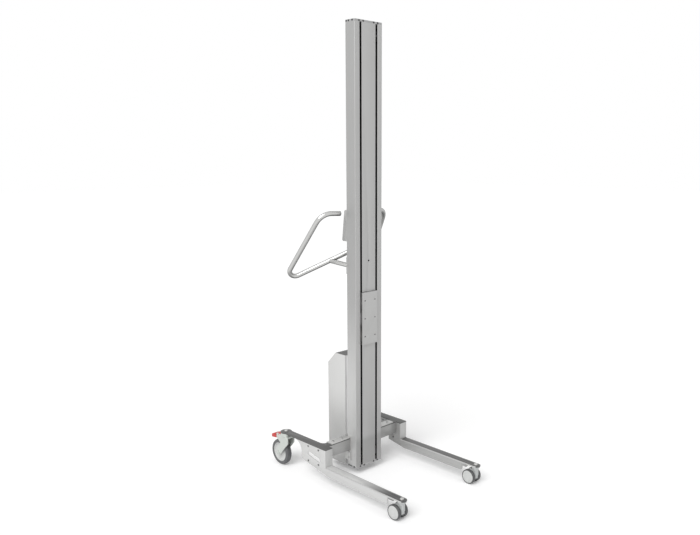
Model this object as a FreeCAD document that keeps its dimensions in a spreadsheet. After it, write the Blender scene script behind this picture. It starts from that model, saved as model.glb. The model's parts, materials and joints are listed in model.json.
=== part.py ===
import FreeCAD, Part
import math
import os

import Sketcher

# Mini stacker: a slim electric lifter on four casters. Millimetres, +Z up, the floor at z = 0.
# The tool plate faces -Y, the operator stands at +Y, and x = 0 is the middle of the mast.
# All sizes are counted from the mast's front face; middle_shift then moves the whole along Y.

SIZES = {
    "middle_shift": 28,
    # mast section
    "mast_width": 184,
    "mast_depth": 64,
    "mast_low": 36,
    "mast_high": 2275,
    "mast_corner": 3,
    "front_wall": 5,
    "rear_wall": 6,
    "side_wall": 6,
    "track_width": 50,
    "web_wall": 4,
    "guide_gap": 13,
    "guide_centre": 53,
    "port_radius": 2.1,
    "port_corner": 11,
    "lock_hole_height": 1127,
    "lock_hole_radius": 5,
    "cap_thickness": 10,
    "cap_dimple_radius": 3.3,
    "cap_dimple_depth": 2,
    # lift drive inside the mast
    "drive_height": 84,
    "idler_drop": 59,
    "track_centre": 31.5,
    "shaft_radius": 6,
    "belt_centre": 77,
    "belt_width": 12,
    "belt_thickness": 3,
    "pulley_radius": 14.5,
    "pulley_rim_radius": 19.5,
    "pulley_rim": 1.2,
    "belt_gap": 0.3,
    "tooth_count": 18,
    "tooth_depth": 1.5,
    "bearing_radius": 12,
    "bearing_width": 8,
    "link_belt_width": 10,
    "link_reach": 92,
    "window_half": 22,
    # carriage
    "plate_low": 697,
    "plate_length": 272,
    "plate_width": 102.6,
    "plate_thickness": 8,
    "plate_stand_off": 2,
    "plate_corner": 3,
    "tool_hole_radius": 3.4,
    "tool_hole_across": 70,
    "tool_hole_rows": 93,
    "web_thickness": 4,
    "web_back": 44,
    "roller_radius": 26,
    "roller_width": 14,
    "roller_bore": 6,
    "roller_inset": 50,
    "roller_stand_off": 1.7,
    "running_gap": 0.05,
    "clamp_height": 60,
    "clamp_jaw": 6,
    # rear housing
    "frame_width": 168,
    "frame_depth": 18,
    "sheet": 3,
    "cover_sheet": 2,
    "cover_gap": 0.3,
    "cover_back": 214,
    "cover_high": 634,
    "cover_chamfer_drop": 60,
    "cover_chamfer_run": 57,
    "screw_radius": 2.5,
    "screw_head_radius": 5,
    "screw_head": 2.6,
    "battery_length": 151,
    "battery_depth": 98,
    "battery_height": 95,
    "battery_low": 330,
    "battery_gap": 12,
    "motor_radius": 31.5,
    "motor_length": 150,
    "gearbox_width": 62,
    "gearbox_depth": 64,
    "gearbox_height": 66,
    # legs and cross arms
    "leg_centre": 274,
    "leg_width": 48,
    "leg_plate": 3,
    "top_plate": 5,
    "leg_high": 196,
    "leg_low": 101,
    "leg_bottom": 58,
    "step_place": 8,
    "leg_front": 430,
    "leg_kink": 20,
    "leg_rear": 195,
    "leg_rear_bottom": 98,
    "wheel_arch": 57,
    "front_pivot": 498,
    "rear_pivot": 354,
    "rear_disc_radius": 31,
    "window_length": 76,
    "window_height": 20,
    "window_slope": 12,
    "window_centre_y": 97,
    "window_centre_z": 134.5,
    "spacer_radius": 7,
    "leg_boss": 16,
    "spacer_across": 80,
    "spacer_up": 79,
    "spacer_centre_y": 102,
    "spacer_centre_z": 140.5,
    "arm_depth": 40,
    "arm_front": 40,
    "arm_height": 60,
    "arm_wall": 3,
    "bracket_thickness": 5,
    "bracket_reach": 134,
    "bracket_low": 72,
    "gusset_radius": 22,
    # handle
    "tube_radius": 12.5,
    "tube_wall": 2,
    "handle_middle_y": 105,
    "handle_middle_z": 1176,
    "handle_corner_x": 296,
    "handle_corner_y": 325,
    "handle_corner_z": 1010,
    "handle_top_x": 222,
    "handle_top_y": 101,
    "handle_top_z": 1369,
    "grip_end_x": 117,
    "grip_end_y": 87,
    "grip_end_z": 1365,
    "middle_bend": 45,
    "corner_bend": 33,
    "top_bend": 70,
    "stem_place": 80,
    "stem_joint": 103,
    "stem_radius": 11.5,
    "stem_height": 1104,
    "mount_plate": 6,
    "mount_plate_width": 180,
    "mount_plate_height": 90,
    # control box
    "box_width": 150,
    "box_up": 118,
    "box_height": 158,
    "box_top_depth": 39,
    "box_low_depth": 57,
    "box_shell": 3,
    "box_base": 8,
    "button_radius": 14,
    "button_rise": 6,
    "button_gap": 0.4,
    "rocker_width": 20,
    "rocker_height": 28,
    # rear casters
    "rear_wheel_radius": 70,
    "rear_wheel_width": 32,
    "rear_core_radius": 52,
    "rear_trail": 42,
    "rear_bolt_radius": 6,
    "fork_half": 23,
    "fork_leg": 5,
    "fork_head_radius": 29,
    "fork_head_high": 190,
    "fork_head_low": 168,
    "fork_arm_width": 30,
    "fork_front": 40,
    "fork_front_low": 139,
    "fork_notch_y": 25,
    "fork_notch_z": 132,
    "fork_rear": 56,
    "fork_rear_low": 153.5,
    "pedal_length": 62,
    "pedal_width": 40,
    "pedal_hinge_y": 40,
    "pedal_hinge_z": 172,
    "pedal_pin_radius": 3,
    "pedal_crest": 10,
    "pedal_tip_drop": 12.5,
    "pedal_tip_height": 17,
    "pedal_shell": 3,
    "pedal_clearance": 8,
    # front twin-wheel casters
    "front_wheel_radius": 37.5,
    "front_wheel_width": 21,
    "front_trail": 26,
    "front_half": 33,
    "front_bolt_radius": 4,
    "hood_thickness": 20,
    "hood_radius": 35,
    "hood_collar_radius": 15,
    "stud_radius": 6,
    "stud_cap_radius": 9.5,
    "stud_cap_height": 7,
}


class Value:
    """A size, with the sheet expression that gives it."""

    def __init__(self, number, text):
        self.number = float(number)
        self.text = text

    def joined(self, other, mark, number):
        return Value(number, f"({self.text} {mark} {other.text})")

    def __add__(self, other):
        other = as_value(other)
        return self.joined(other, "+", self.number + other.number)

    def __radd__(self, other):
        return as_value(other) + self

    def __sub__(self, other):
        other = as_value(other)
        return self.joined(other, "-", self.number - other.number)

    def __rsub__(self, other):
        return as_value(other) - self

    def __mul__(self, other):
        other = as_value(other)
        return self.joined(other, "*", self.number * other.number)

    def __rmul__(self, other):
        return as_value(other) * self

    def __truediv__(self, other):
        other = as_value(other)
        return self.joined(other, "/", self.number / other.number)

    def __neg__(self):
        return Value(-self.number, f"(-1 * {self.text})")

    def __float__(self):
        return self.number


def as_value(amount):
    """Plain numbers become values, so that sums can mix both."""
    if isinstance(amount, Value):
        return amount
    return Value(amount, f"({amount})")


class SizeSheet:
    """The driving dimensions, each an aliased cell of the document's sheet."""

    def __init__(self, document, sizes):
        sheet = document.addObject("Spreadsheet::Sheet", "Sizes")
        for row, (name, number) in enumerate(sizes.items(), start=1):
            sheet.set(f"A{row}", name)
            sheet.set(f"B{row}", str(number))
            sheet.setAlias(f"B{row}", name)
            setattr(self, name, Value(number, f"Sizes.{name}"))


os.makedirs("parts", exist_ok=True)
doc = FreeCAD.newDocument("mini_stacker")
size = SizeSheet(doc, SIZES)
doc.recompute()

Vector = FreeCAD.Vector
NODES = []
SIDES = {"left": -1, "right": 1}


# Small tools for parametric bodies


def bind(item, path, amount):
    """Tie one property to the sheet."""
    item.setExpression(path, as_value(amount).text)


def place(item, x=0, y=0, z=0):
    """Tie the item's position to the sheet, moved so that y = 0 is the middle of the whole."""
    bind(item, "Placement.Base.x", x)
    bind(item, "Placement.Base.y", y + size.middle_shift)
    bind(item, "Placement.Base.z", z)


def new_body(label, x=0, y=0, z=0):
    """A sub-part of its own, listed for export under its label."""
    body = doc.addObject("PartDesign::Body", label)
    body.Label = label
    place(body, x, y, z)
    NODES.append(body)
    return body


def origin_plane(body, role):
    """One of the body's own origin planes."""
    for item in body.Origin.OriginFeatures:
        if item.Role == role:
            return item
    raise ValueError(role)


def new_sketch(body, name, role, height=0):
    """A sketch on an origin plane, moved along the plane's normal."""
    sketch = body.newObject("Sketcher::SketchObject", f"{body.Name}_{name}")
    sketch.AttachmentSupport = [(origin_plane(body, role), "")]
    sketch.MapMode = "FlatFace"
    bind(sketch, "AttachmentOffset.Base.z", height)
    return sketch


def tie(sketch, kind, line, point, amount):
    """One distance from the sketch's origin, bound to the sheet."""
    amount = as_value(amount)
    index = sketch.addConstraint(Sketcher.Constraint(kind, -1, 1, line, point, amount.number))
    sketch.setExpression(f"Constraints[{index}]", amount.text)


def draw_polygon(sketch, corners):
    """A straight-sided outline with every corner tied to its sizes."""
    first = sketch.GeometryCount
    count = len(corners)
    spots = [Vector(float(x), float(y), 0) for x, y in corners]
    for index in range(count):
        sketch.addGeometry(Part.LineSegment(spots[index], spots[(index + 1) % count]), False)
    for index in range(count):
        following = first + (index + 1) % count
        sketch.addConstraint(Sketcher.Constraint("Coincident", first + index, 2, following, 1))
    for index, (x, y) in enumerate(corners):
        tie(sketch, "DistanceX", first + index, 1, x)
        tie(sketch, "DistanceY", first + index, 1, y)


def draw_box(sketch, left, right, low, high):
    """An upright rectangle between four places."""
    draw_polygon(sketch, [(left, low), (right, low), (right, high), (left, high)])


def draw_circle(sketch, x, y, radius):
    """A circle with its centre and radius tied to the sheet."""
    radius = as_value(radius)
    centre = Vector(float(x), float(y), 0)
    line = sketch.addGeometry(Part.Circle(centre, Vector(0, 0, 1), radius.number), False)
    tie(sketch, "DistanceX", line, 3, x)
    tie(sketch, "DistanceY", line, 3, y)
    index = sketch.addConstraint(Sketcher.Constraint("Radius", line, radius.number))
    sketch.setExpression(f"Constraints[{index}]", radius.text)


def rounded_edges(corners):
    """Edges of a closed outline; a corner given as (x, y, radius) is rounded."""
    spots = [Vector(float(c[0]), float(c[1]), 0) for c in corners]
    radii = [float(c[2]) if len(c) > 2 else 0.0 for c in corners]
    count = len(spots)
    runs = []
    for index, spot in enumerate(spots):
        back = (spots[index - 1] - spot).normalize()
        ahead = (spots[(index + 1) % count] - spot).normalize()
        radius = radii[index]
        if not radius:
            runs.append((spot, None, spot))
            continue
        half = back.getAngle(ahead) / 2
        reach = radius / math.tan(half)
        centre = spot + (back + ahead).normalize() * (radius / math.sin(half))
        middle = centre + (spot - centre).normalize() * radius
        runs.append((spot + back * reach, middle, spot + ahead * reach))
    edges = []
    for index, (start, middle, end) in enumerate(runs):
        if middle is not None:
            edges.append(Part.Arc(start, middle, end))
        following = runs[(index + 1) % count][0]
        if (following - end).Length > 1e-6:
            edges.append(Part.LineSegment(end, following))
    return edges


def draw_rounded(sketch, corners):
    """Draw a rounded outline in a sketch."""
    for edge in rounded_edges(corners):
        sketch.addGeometry(edge, False)


def draw_obround(sketch, x, y, length, width, slope=0):
    """A straight hole with round ends, centred at x, y and sloped by degrees."""
    half = (float(length) - float(width)) / 2
    radius = float(width) / 2
    along = Vector(math.cos(math.radians(float(slope))), math.sin(math.radians(float(slope))), 0)
    across = Vector(-along.y, along.x, 0)
    centre = Vector(float(x), float(y), 0)
    near = centre - along * half
    far = centre + along * half
    rim = across * radius
    sketch.addGeometry(Part.LineSegment(near - rim, far - rim), False)
    sketch.addGeometry(Part.Arc(far - rim, far + along * radius, far + rim), False)
    sketch.addGeometry(Part.LineSegment(far + rim, near + rim), False)
    sketch.addGeometry(Part.Arc(near + rim, near - along * radius, near - rim), False)


def add_pad(body, sketch, length, symmetric=False):
    """Raise the sketch; on the XZ plane this runs towards -Y."""
    feature = body.newObject("PartDesign::Pad", f"{sketch.Name}_pad")
    feature.Profile = sketch
    bind(feature, "Length", length)
    if symmetric:
        feature.SideType = "Symmetric"
    body.Tip = feature
    return feature


def add_pocket(body, sketch, length=None, reverse=False, symmetric=False):
    """Cut the sketch through everything, or to a depth."""
    doc.recompute()
    before = body.Shape.Volume
    feature = body.newObject("PartDesign::Pocket", f"{sketch.Name}_cut")
    feature.Profile = sketch
    if length is None:
        feature.Type = "ThroughAll"
        feature.SideType = "Symmetric"
    else:
        bind(feature, "Length", length)
        feature.Reversed = reverse
        if symmetric:
            feature.SideType = "Symmetric"
    body.Tip = feature
    doc.recompute()
    if body.Shape.Volume > before - 0.01:
        raise ValueError(f"{sketch.Name} cuts nothing")
    return feature


def add_turn(body, sketch, axis="V_Axis"):
    """Turn the sketch all the way round one of its axes."""
    feature = body.newObject("PartDesign::Revolution", f"{sketch.Name}_turn")
    feature.Profile = sketch
    feature.ReferenceAxis = (sketch, [axis])
    feature.Angle = 360
    body.Tip = feature
    return feature


def edge_names(feature, wanted):
    """Names of the feature's edges that pass the test."""
    doc.recompute()
    edges = feature.Shape.Edges
    return [f"Edge{index}" for index, edge in enumerate(edges, start=1) if wanted(edge)]


def add_fillet(body, feature, wanted, radius):
    """Round the edges that pass the test."""
    names = edge_names(feature, wanted)
    if not names:
        raise ValueError(f"no edge to round on {feature.Name}")
    rounding = body.newObject("PartDesign::Fillet", f"{feature.Name}_round")
    rounding.Base = (feature, names)
    bind(rounding, "Radius", radius)
    body.Tip = rounding
    return rounding


def is_along(edge, axis):
    """True for a straight edge that runs along the axis."""
    if not isinstance(edge.Curve, Part.Line):
        return False
    direction = (edge.Vertexes[-1].Point - edge.Vertexes[0].Point).normalize()
    return abs(abs(direction.dot(axis)) - 1) < 1e-6


def add_feature(label, shapes, x=0, y=0, z=0):
    """A sub-part of ready solids, for forms that sketches don't suit."""
    item = doc.addObject("Part::Feature", label)
    item.Label = label
    item.Shape = Part.makeCompound(shapes)
    place(item, x, y, z)
    NODES.append(item)
    return item


def cylinder(radius, length, base, axis):
    """A plain cylinder as a shape, from its base point along the axis."""
    return Part.makeCylinder(float(radius), float(length), base, axis)


def box_between(low, high):
    """A plain box as a shape, between two corners."""
    span = high - low
    return Part.makeBox(span.x, span.y, span.z, low)


def point(x, y, z):
    """A place in space from three values."""
    return Vector(float(x), float(y), float(z))


RIGHT = Vector(1, 0, 0)
BACK = Vector(0, 1, 0)
UP = Vector(0, 0, 1)


# Mast: one extrusion with two guide tracks, open to the front through two long gaps

mast_half = size.mast_width / 2
track_outer = mast_half - size.side_wall
track_inner = track_outer - size.track_width
core_half = track_inner - size.web_wall
track_back = size.mast_depth - size.rear_wall
profile_low = size.mast_low + size.cap_thickness
profile_length = size.mast_high - size.mast_low - size.cap_thickness * 2
idler_height = size.mast_high - size.idler_drop
gap_inner = size.guide_centre - size.guide_gap / 2
gap_outer = size.guide_centre + size.guide_gap / 2
PORTS = [(-1, 0), (1, 0), (-1, 1), (1, 1)]


def port_places():
    """Centres of the four screw ports in the corners of the middle chamber."""
    inset = size.port_corner * 0.3
    for side, row in PORTS:
        y = size.front_wall + inset if row == 0 else track_back - inset
        yield (core_half - inset) * side, y


def make_mast_profile():
    body = new_body("mast_profile", z=profile_low)
    section = new_sketch(body, "section", "XY_Plane")
    draw_box(section, -mast_half, mast_half, 0, size.mast_depth)
    draw_box(section, track_inner, track_outer, size.front_wall, track_back)
    draw_box(section, -track_outer, -track_inner, size.front_wall, track_back)
    corner = size.port_corner
    low = size.front_wall
    chamber = [
        (-core_half + corner, low),
        (core_half - corner, low),
        (core_half, low + corner),
        (core_half, track_back - corner),
        (core_half - corner, track_back),
        (-core_half + corner, track_back),
        (-core_half, track_back - corner),
        (-core_half, low + corner),
    ]
    draw_polygon(section, chamber)
    for x, y in port_places():
        draw_circle(section, x, y, size.port_radius)
    solid = add_pad(body, section, profile_length)

    def outer_corner(edge):
        spot = edge.Vertexes[0].Point
        wide = abs(abs(spot.x) - float(mast_half)) < 1e-6
        deep = min(abs(spot.y), abs(spot.y - float(size.mast_depth))) < 1e-6
        return is_along(edge, UP) and wide and deep

    add_fillet(body, solid, outer_corner, size.mast_corner)
    gaps = new_sketch(body, "gaps", "XY_Plane")
    draw_box(gaps, gap_inner, gap_outer, -1, size.front_wall + 1)
    draw_box(gaps, -gap_outer, -gap_inner, -1, size.front_wall + 1)
    add_pocket(body, gaps)
    shaft_ways = new_sketch(body, "shaft_ways", "YZ_Plane")
    draw_circle(shaft_ways, size.track_centre, size.drive_height - profile_low, size.bearing_radius)
    idler_way = size.shaft_radius + size.running_gap
    draw_circle(shaft_ways, size.track_centre, idler_height - profile_low, idler_way)
    add_pocket(body, shaft_ways, track_inner * 2 + 2, symmetric=True)
    window = new_sketch(body, "belt_window", "XZ_Plane", -size.mast_depth)
    way = core_half - size.port_corner
    middle = size.drive_height - profile_low
    draw_box(window, -way, way, middle - size.window_half, middle + size.window_half)
    add_pocket(body, window, size.rear_wall + 1, reverse=True)
    lock = new_sketch(body, "lock_hole", "XZ_Plane")
    draw_circle(lock, 0, size.lock_hole_height - profile_low, size.lock_hole_radius)
    add_pocket(body, lock, size.front_wall + 1)
    seats = new_sketch(body, "bracket_holes", "YZ_Plane")
    for y, z in bracket_bolts():
        draw_circle(seats, y, z - profile_low, size.screw_radius)
    add_pocket(body, seats)
    return body


def bracket_bolts():
    """Places of the bolts that hold a cross-arm bracket to the mast's side."""
    y = size.arm_front + size.arm_depth * 0.32
    for z in (size.bracket_low + 16, size.leg_high - 78):
        yield y, z


CAP_PITS = (0.25, 0.64, 0.89)


def cap_dimples():
    """Places across the mast of the small set-screw holes in each cap's front."""
    for x in (size.guide_centre + 9, size.guide_centre - 18):
        yield x
        yield -x


def make_mast_cap(label, low, dimple_height):
    """A thick end plate that closes the tracks and takes four countersunk screws."""
    body = new_body(label, z=low)
    outline = new_sketch(body, "outline", "XY_Plane")
    draw_box(outline, -mast_half, mast_half, 0, size.mast_depth)
    solid = add_pad(body, outline, size.cap_thickness)
    add_fillet(body, solid, lambda edge: is_along(edge, UP), size.mast_corner)
    holes = new_sketch(body, "holes", "XY_Plane")
    for x, y in port_places():
        draw_circle(holes, x, y, size.screw_radius)
    add_pocket(body, holes)
    dimples = new_sketch(body, "dimples", "XZ_Plane")
    for x in cap_dimples():
        draw_circle(dimples, x, dimple_height, size.cap_dimple_radius)
    add_pocket(body, dimples, size.cap_dimple_depth)
    for face, start in (("left", -mast_half), ("right", mast_half)):
        pits = new_sketch(body, f"{face}_pits", "YZ_Plane", start)
        for share in CAP_PITS:
            draw_circle(pits, size.mast_depth * share, dimple_height, size.cap_dimple_radius)
        add_pocket(body, pits, size.cap_dimple_depth, reverse=face == "left")
    return body


def cap_head(x, y, top, up):
    """A countersunk screw through a cap: head flush with the outer face, shank in the port."""
    shank = size.port_radius - size.running_gap
    length = float(size.cap_thickness) + 14
    axis = UP * (-up)
    start = point(x, y, top)
    screw = cylinder(shank, length, start, axis)
    return screw


def cap_screws():
    """Eight screws, four through each cap into the ports of the extrusion."""
    screws = []
    for x, y in port_places():
        for top, up in ((size.mast_high, 1), (size.mast_low, -1)):
            shank = cap_head(x, y, top, up)
            head_radius = float(size.screw_radius) + 2
            rim = point(x, y, top)
            head = cylinder(head_radius, 1.5, rim, UP * up)
            screws.append(shank.fuse(head))
    return screws


# Lift drive: a cross shaft at the foot of the mast turns two toothed belts, one per track


def toothed_pulley(x, width, bore):
    """A toothed pulley centred at x on its shaft line; every tooth space is cut in the rim."""
    radius = float(size.pulley_radius)
    flange = float(size.pulley_rim)
    count = round(float(size.tooth_count))
    length = float(width)
    start = float(x) - length / 2
    wheel = cylinder(radius, length, Vector(start, 0, 0), RIGHT)
    for index in range(count):
        angle = 2 * math.pi * index / count
        spot = Vector(start - 1, radius * math.cos(angle), radius * math.sin(angle))
        wheel = wheel.cut(cylinder(size.tooth_depth, length + 2, spot, RIGHT))
    for side in (start - flange, start + length):
        wheel = wheel.fuse(cylinder(size.pulley_rim_radius, flange, Vector(side, 0, 0), RIGHT))
    hole = cylinder(bore, length + 4 * flange, Vector(start - 2 * flange, 0, 0), RIGHT)
    return wheel.cut(hole)


def make_pulleys():
    """Pulleys on the drive shaft, on the idler shaft and on the gearbox's output shaft."""
    lift_width = size.belt_width + 1
    link_width = size.link_belt_width + 1
    bore = size.shaft_radius + size.running_gap
    line = size.track_centre
    lift = [toothed_pulley(size.belt_centre * side, lift_width, bore) for side in SIDES.values()]
    driven = lift + [toothed_pulley(0, link_width, bore)]
    add_feature("shaft_pulleys", driven, y=line, z=size.drive_height)
    idlers = [toothed_pulley(size.belt_centre * side, lift_width, bore) for side in SIDES.values()]
    add_feature("idler_pulleys", idlers, y=line, z=idler_height)
    shaft_low = -gearbox_side - size.gearbox_width + 6
    shaft = cylinder(size.shaft_radius, link_width + 4 - shaft_low, point(shaft_low, 0, 0), RIGHT)
    motor = [toothed_pulley(0, link_width, bore), shaft]
    add_feature("motor_pulley", motor, y=line + size.link_reach, z=size.drive_height)


def make_shaft(label, half_length, radius, y, z):
    """A plain cross shaft with chamfered ends."""
    body = new_body(label, y=y, z=z)
    outline = new_sketch(body, "section", "YZ_Plane")
    draw_circle(outline, 0, 0, radius)
    add_pad(body, outline, half_length * 2, symmetric=True)
    return body


def belt_loop(width, reach, along, x, y, z):
    """A closed belt round two equal pulleys, as a shape."""
    inner = float(size.pulley_radius) + float(size.belt_gap)
    outer = inner + float(size.belt_thickness)
    loops = []
    for radius in (outer, inner):
        across = Vector(0, -along.z, along.y)
        near = Vector(0, 0, 0)
        far = along * float(reach)
        rim = across * radius
        edges = [
            Part.LineSegment(near - rim, far - rim).toShape(),
            Part.Arc(far - rim, far + along * radius, far + rim).toShape(),
            Part.LineSegment(far + rim, near + rim).toShape(),
            Part.Arc(near + rim, near - along * radius, near - rim).toShape(),
        ]
        loops.append(Part.Face(Part.Wire(edges)))
    ring = loops[0].cut(loops[1])
    loop = ring.extrude(Vector(float(width), 0, 0))
    loop.translate(point(float(x) - float(width) / 2, y, z))
    return loop


def make_drive_belts():
    """Two lift belts, one in each track, and the short belt from the gearbox to the cross shaft."""
    span = idler_height - size.drive_height
    line = size.track_centre
    loops = [belt_loop(size.link_belt_width, size.link_reach, BACK, 0, line, size.drive_height)]
    for side in SIDES.values():
        x = size.belt_centre * side
        loops.append(belt_loop(size.belt_width, span, UP, x, line, size.drive_height))
    return add_feature("drive_belts", loops)


def make_shaft_bearings():
    """Four ball bearings: two for the drive shaft, two for the idler shaft."""
    rings = []
    for side in SIDES.values():
        start = core_half + 0.2 if side > 0 else -core_half - 0.2 - size.bearing_width
        base = point(start, size.track_centre, size.drive_height)
        ring = cylinder(size.bearing_radius - 0.1, size.bearing_width, base, RIGHT)
        hole = cylinder(size.shaft_radius + size.running_gap, size.bearing_width, base, RIGHT)
        rings.append(ring.cut(hole))
    return add_feature("shaft_bearings", rings)


# Carriage: a flat tool plate on two webs that reach through the guide gaps

plate_half = size.plate_width / 2
plate_middle = size.plate_low + size.plate_length / 2
web_outer = plate_half
web_inner = plate_half - size.web_thickness
roller_start = web_outer + size.roller_stand_off
roller_low = size.plate_low + size.roller_inset
roller_high = size.plate_low + size.plate_length - size.roller_inset


def make_carriage_plate():
    body = new_body("carriage_plate", z=size.plate_low)
    front = -size.plate_stand_off
    outline = new_sketch(body, "outline", "XZ_Plane", -front)
    draw_box(outline, -plate_half, plate_half, 0, size.plate_length)
    solid = add_pad(body, outline, size.plate_thickness)
    add_fillet(body, solid, lambda edge: is_along(edge, BACK), size.plate_corner)
    holes = new_sketch(body, "tool_holes", "XZ_Plane")
    half = size.tool_hole_across / 2
    for row in (-1, 0, 1):
        height = size.plate_length / 2 + size.tool_hole_rows * row
        draw_circle(holes, half, height, size.tool_hole_radius)
        draw_circle(holes, -half, height, size.tool_hole_radius)
    add_pocket(body, holes)
    return body


def make_carriage_webs():
    """Two long steel webs from the plate into the tracks, bored for the roller axles."""
    low_back = float(size.web_back) * 0.55
    arch = float(size.roller_inset) + 24
    length = float(size.plate_length)
    front = -float(size.plate_stand_off)
    back = float(size.web_back)
    corners = [
        (front, 0),
        (back, 0),
        (back, arch, 8),
        (low_back, arch + 18, 8),
        (low_back, length - arch - 18, 8),
        (back, length - arch, 8),
        (back, length),
        (front, length),
    ]
    outline = Part.Face(Part.Wire([edge.toShape() for edge in rounded_edges(corners)]))
    outline.rotate(Vector(0, 0, 0), Vector(1, 1, 1), 120)
    webs = []
    for start in (web_inner, -web_outer):
        web = outline.extrude(point(size.web_thickness, 0, 0))
        web.translate(point(start, 0, size.plate_low))
        for height in (roller_low, roller_high):
            base = point(start - 1, size.track_centre, height)
            web = web.cut(cylinder(size.roller_bore, size.web_thickness + 2, base, RIGHT))
        webs.append(web)
    return add_feature("carriage_webs", webs)


def make_roller_axles():
    """Four stub axles, riveted in the webs, with a washer face behind each roller."""
    pins = []
    radius = size.roller_bore - size.running_gap
    for side in SIDES.values():
        axis = RIGHT * side
        for height in (roller_low, roller_high):
            tail = point(web_inner * side, size.track_centre, height)
            reach = size.roller_width + size.roller_stand_off + size.web_thickness + 1.6
            pin = cylinder(radius, reach, tail, axis)
            washer_base = point(web_outer * side, size.track_centre, height)
            washer = cylinder(size.roller_bore + 2.5, size.roller_stand_off - 0.2, washer_base, axis)
            clip_base = point((roller_start + size.roller_width + 0.2) * side, size.track_centre, height)
            clip = cylinder(size.roller_bore + 2, 1.2, clip_base, axis)
            pins.append(pin.fuse(washer).fuse(clip))
    return add_feature("roller_axles", pins)


def make_rollers(label, height):
    """A pair of track rollers, one in each track, with rounded treads and stepped hubs."""
    width = float(size.roller_width)
    radius = float(size.roller_radius)
    bore = float(size.roller_bore)
    section = [
        (0, bore),
        (width, bore),
        (width, bore + 6),
        (width - 1.5, bore + 7),
        (width - 1.5, radius - 5),
        (width, radius - 4),
        (width, radius - 1),
        (width - 1, radius),
        (1, radius),
        (0, radius - 1),
        (0, radius - 4),
        (1.5, radius - 5),
        (1.5, bore + 7),
        (0, bore + 6),
    ]
    rollers = []
    for side in SIDES.values():
        spots = [Vector((float(roller_start) + x) * side, 0, z) for x, z in section]
        face = Part.Face(Part.makePolygon(spots + [spots[0]]))
        rollers.append(face.revolve(Vector(0, 0, 0), RIGHT, 360))
    return add_feature(label, rollers, y=size.track_centre, z=height)


def make_belt_clamps():
    """A block on each web that grips the front run of its belt."""
    blocks = []
    gap_low = size.track_centre - size.pulley_radius - size.belt_gap - size.belt_thickness
    for side in SIDES.values():
        reach = size.belt_centre + size.belt_width / 2 + 1
        half = size.clamp_height / 2
        back = gap_low + size.belt_thickness + size.clamp_jaw
        low = point(web_outer, size.front_wall + 0.8, plate_middle - half)
        high = point(reach, back, plate_middle + half)
        block = box_between(low, high)
        start = size.belt_centre - size.belt_width / 2 - 0.5
        slit_low = point(start, gap_low - 0.3, plate_middle - size.clamp_height)
        slit_back = gap_low + size.belt_thickness + 0.3
        slit_high = point(reach + 1, slit_back, plate_middle + size.clamp_height)
        block = block.cut(box_between(slit_low, slit_high))
        if side < 0:
            block = block.mirror(Vector(0, 0, 0), RIGHT)
        blocks.append(block)
    return add_feature("belt_clamps", blocks)


# Rear housing: a channel behind the mast carries the drive and the batteries under a folded cover

frame_half = size.frame_width / 2
frame_back = size.mast_depth + size.frame_depth
cover_length = size.cover_high - size.mast_low


def make_drive_frame():
    """Welded channel on the mast's back, with a floor, a battery shelf and a lug for the cover."""
    body = new_body("drive_frame", z=size.mast_low)
    section = new_sketch(body, "section", "XY_Plane")
    gap = size.cover_sheet + size.cover_gap
    lip = mast_half - gap
    half = [
        (frame_half, size.mast_depth),
        (frame_half, frame_back - size.sheet),
        (lip, frame_back - size.sheet),
        (lip, frame_back),
        (frame_half - size.sheet, frame_back),
        (frame_half - size.sheet, size.mast_depth + size.sheet),
    ]
    draw_polygon(section, half + [(-x, y) for x, y in reversed(half)])
    add_pad(body, section, cover_length - size.cover_sheet)
    floor = new_sketch(body, "floor", "XY_Plane")
    floor_corners = [
        (-frame_half, size.mast_depth),
        (frame_half, size.mast_depth),
        (frame_half, frame_back),
        (lip, frame_back),
        (lip, size.cover_back - gap),
        (-lip, size.cover_back - gap),
        (-lip, frame_back),
        (-frame_half, frame_back),
    ]
    draw_polygon(floor, floor_corners)
    add_pad(body, floor, size.sheet)
    lug = new_sketch(body, "top_lug", "XY_Plane", cover_length - size.cover_sheet - size.sheet)
    draw_box(lug, -frame_half + 4, frame_half - 4, size.mast_depth, frame_back + 24)
    add_pad(body, lug, size.sheet)
    back = frame_back + 6 + size.battery_depth
    face = size.mast_depth + size.sheet - 1
    for name, height in (("low_shelf", 0), ("high_shelf", size.battery_height + size.battery_gap)):
        shelf = new_sketch(body, name, "YZ_Plane")
        top = size.battery_low - size.mast_low + height
        shelf_corners = [
            (face, top - 70),
            (face + size.sheet, top - 70),
            (face + size.sheet, top - size.sheet),
            (back + size.sheet + 0.5, top - size.sheet),
            (back + size.sheet + 0.5, top + 18),
            (back + 0.5, top + 18),
            (back + 0.5, top),
            (face, top),
        ]
        draw_polygon(shelf, shelf_corners)
        add_pad(body, shelf, size.battery_length - 4, symmetric=True)
    vents = new_sketch(body, "vents", "XY_Plane")
    for index in range(5):
        draw_obround(vents, 22 * (index - 2), 180, 40, 7, 90)
    add_pocket(body, vents, size.sheet + 1, reverse=True)
    holes = new_sketch(body, "top_holes", "XY_Plane", cover_length)
    for x in (-1, 1):
        draw_circle(holes, size.frame_width * 0.39 * x, frame_back + 14, size.screw_radius)
    add_pocket(body, holes, size.sheet + size.cover_sheet + 1)
    window = new_sketch(body, "belt_window", "XZ_Plane", -size.mast_depth - size.sheet)
    way = core_half - size.port_corner
    middle = size.drive_height - size.mast_low
    draw_box(window, -way, way, middle - size.window_half, middle + size.window_half)
    add_pocket(body, window, size.sheet + 1, reverse=True)
    return body


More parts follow.
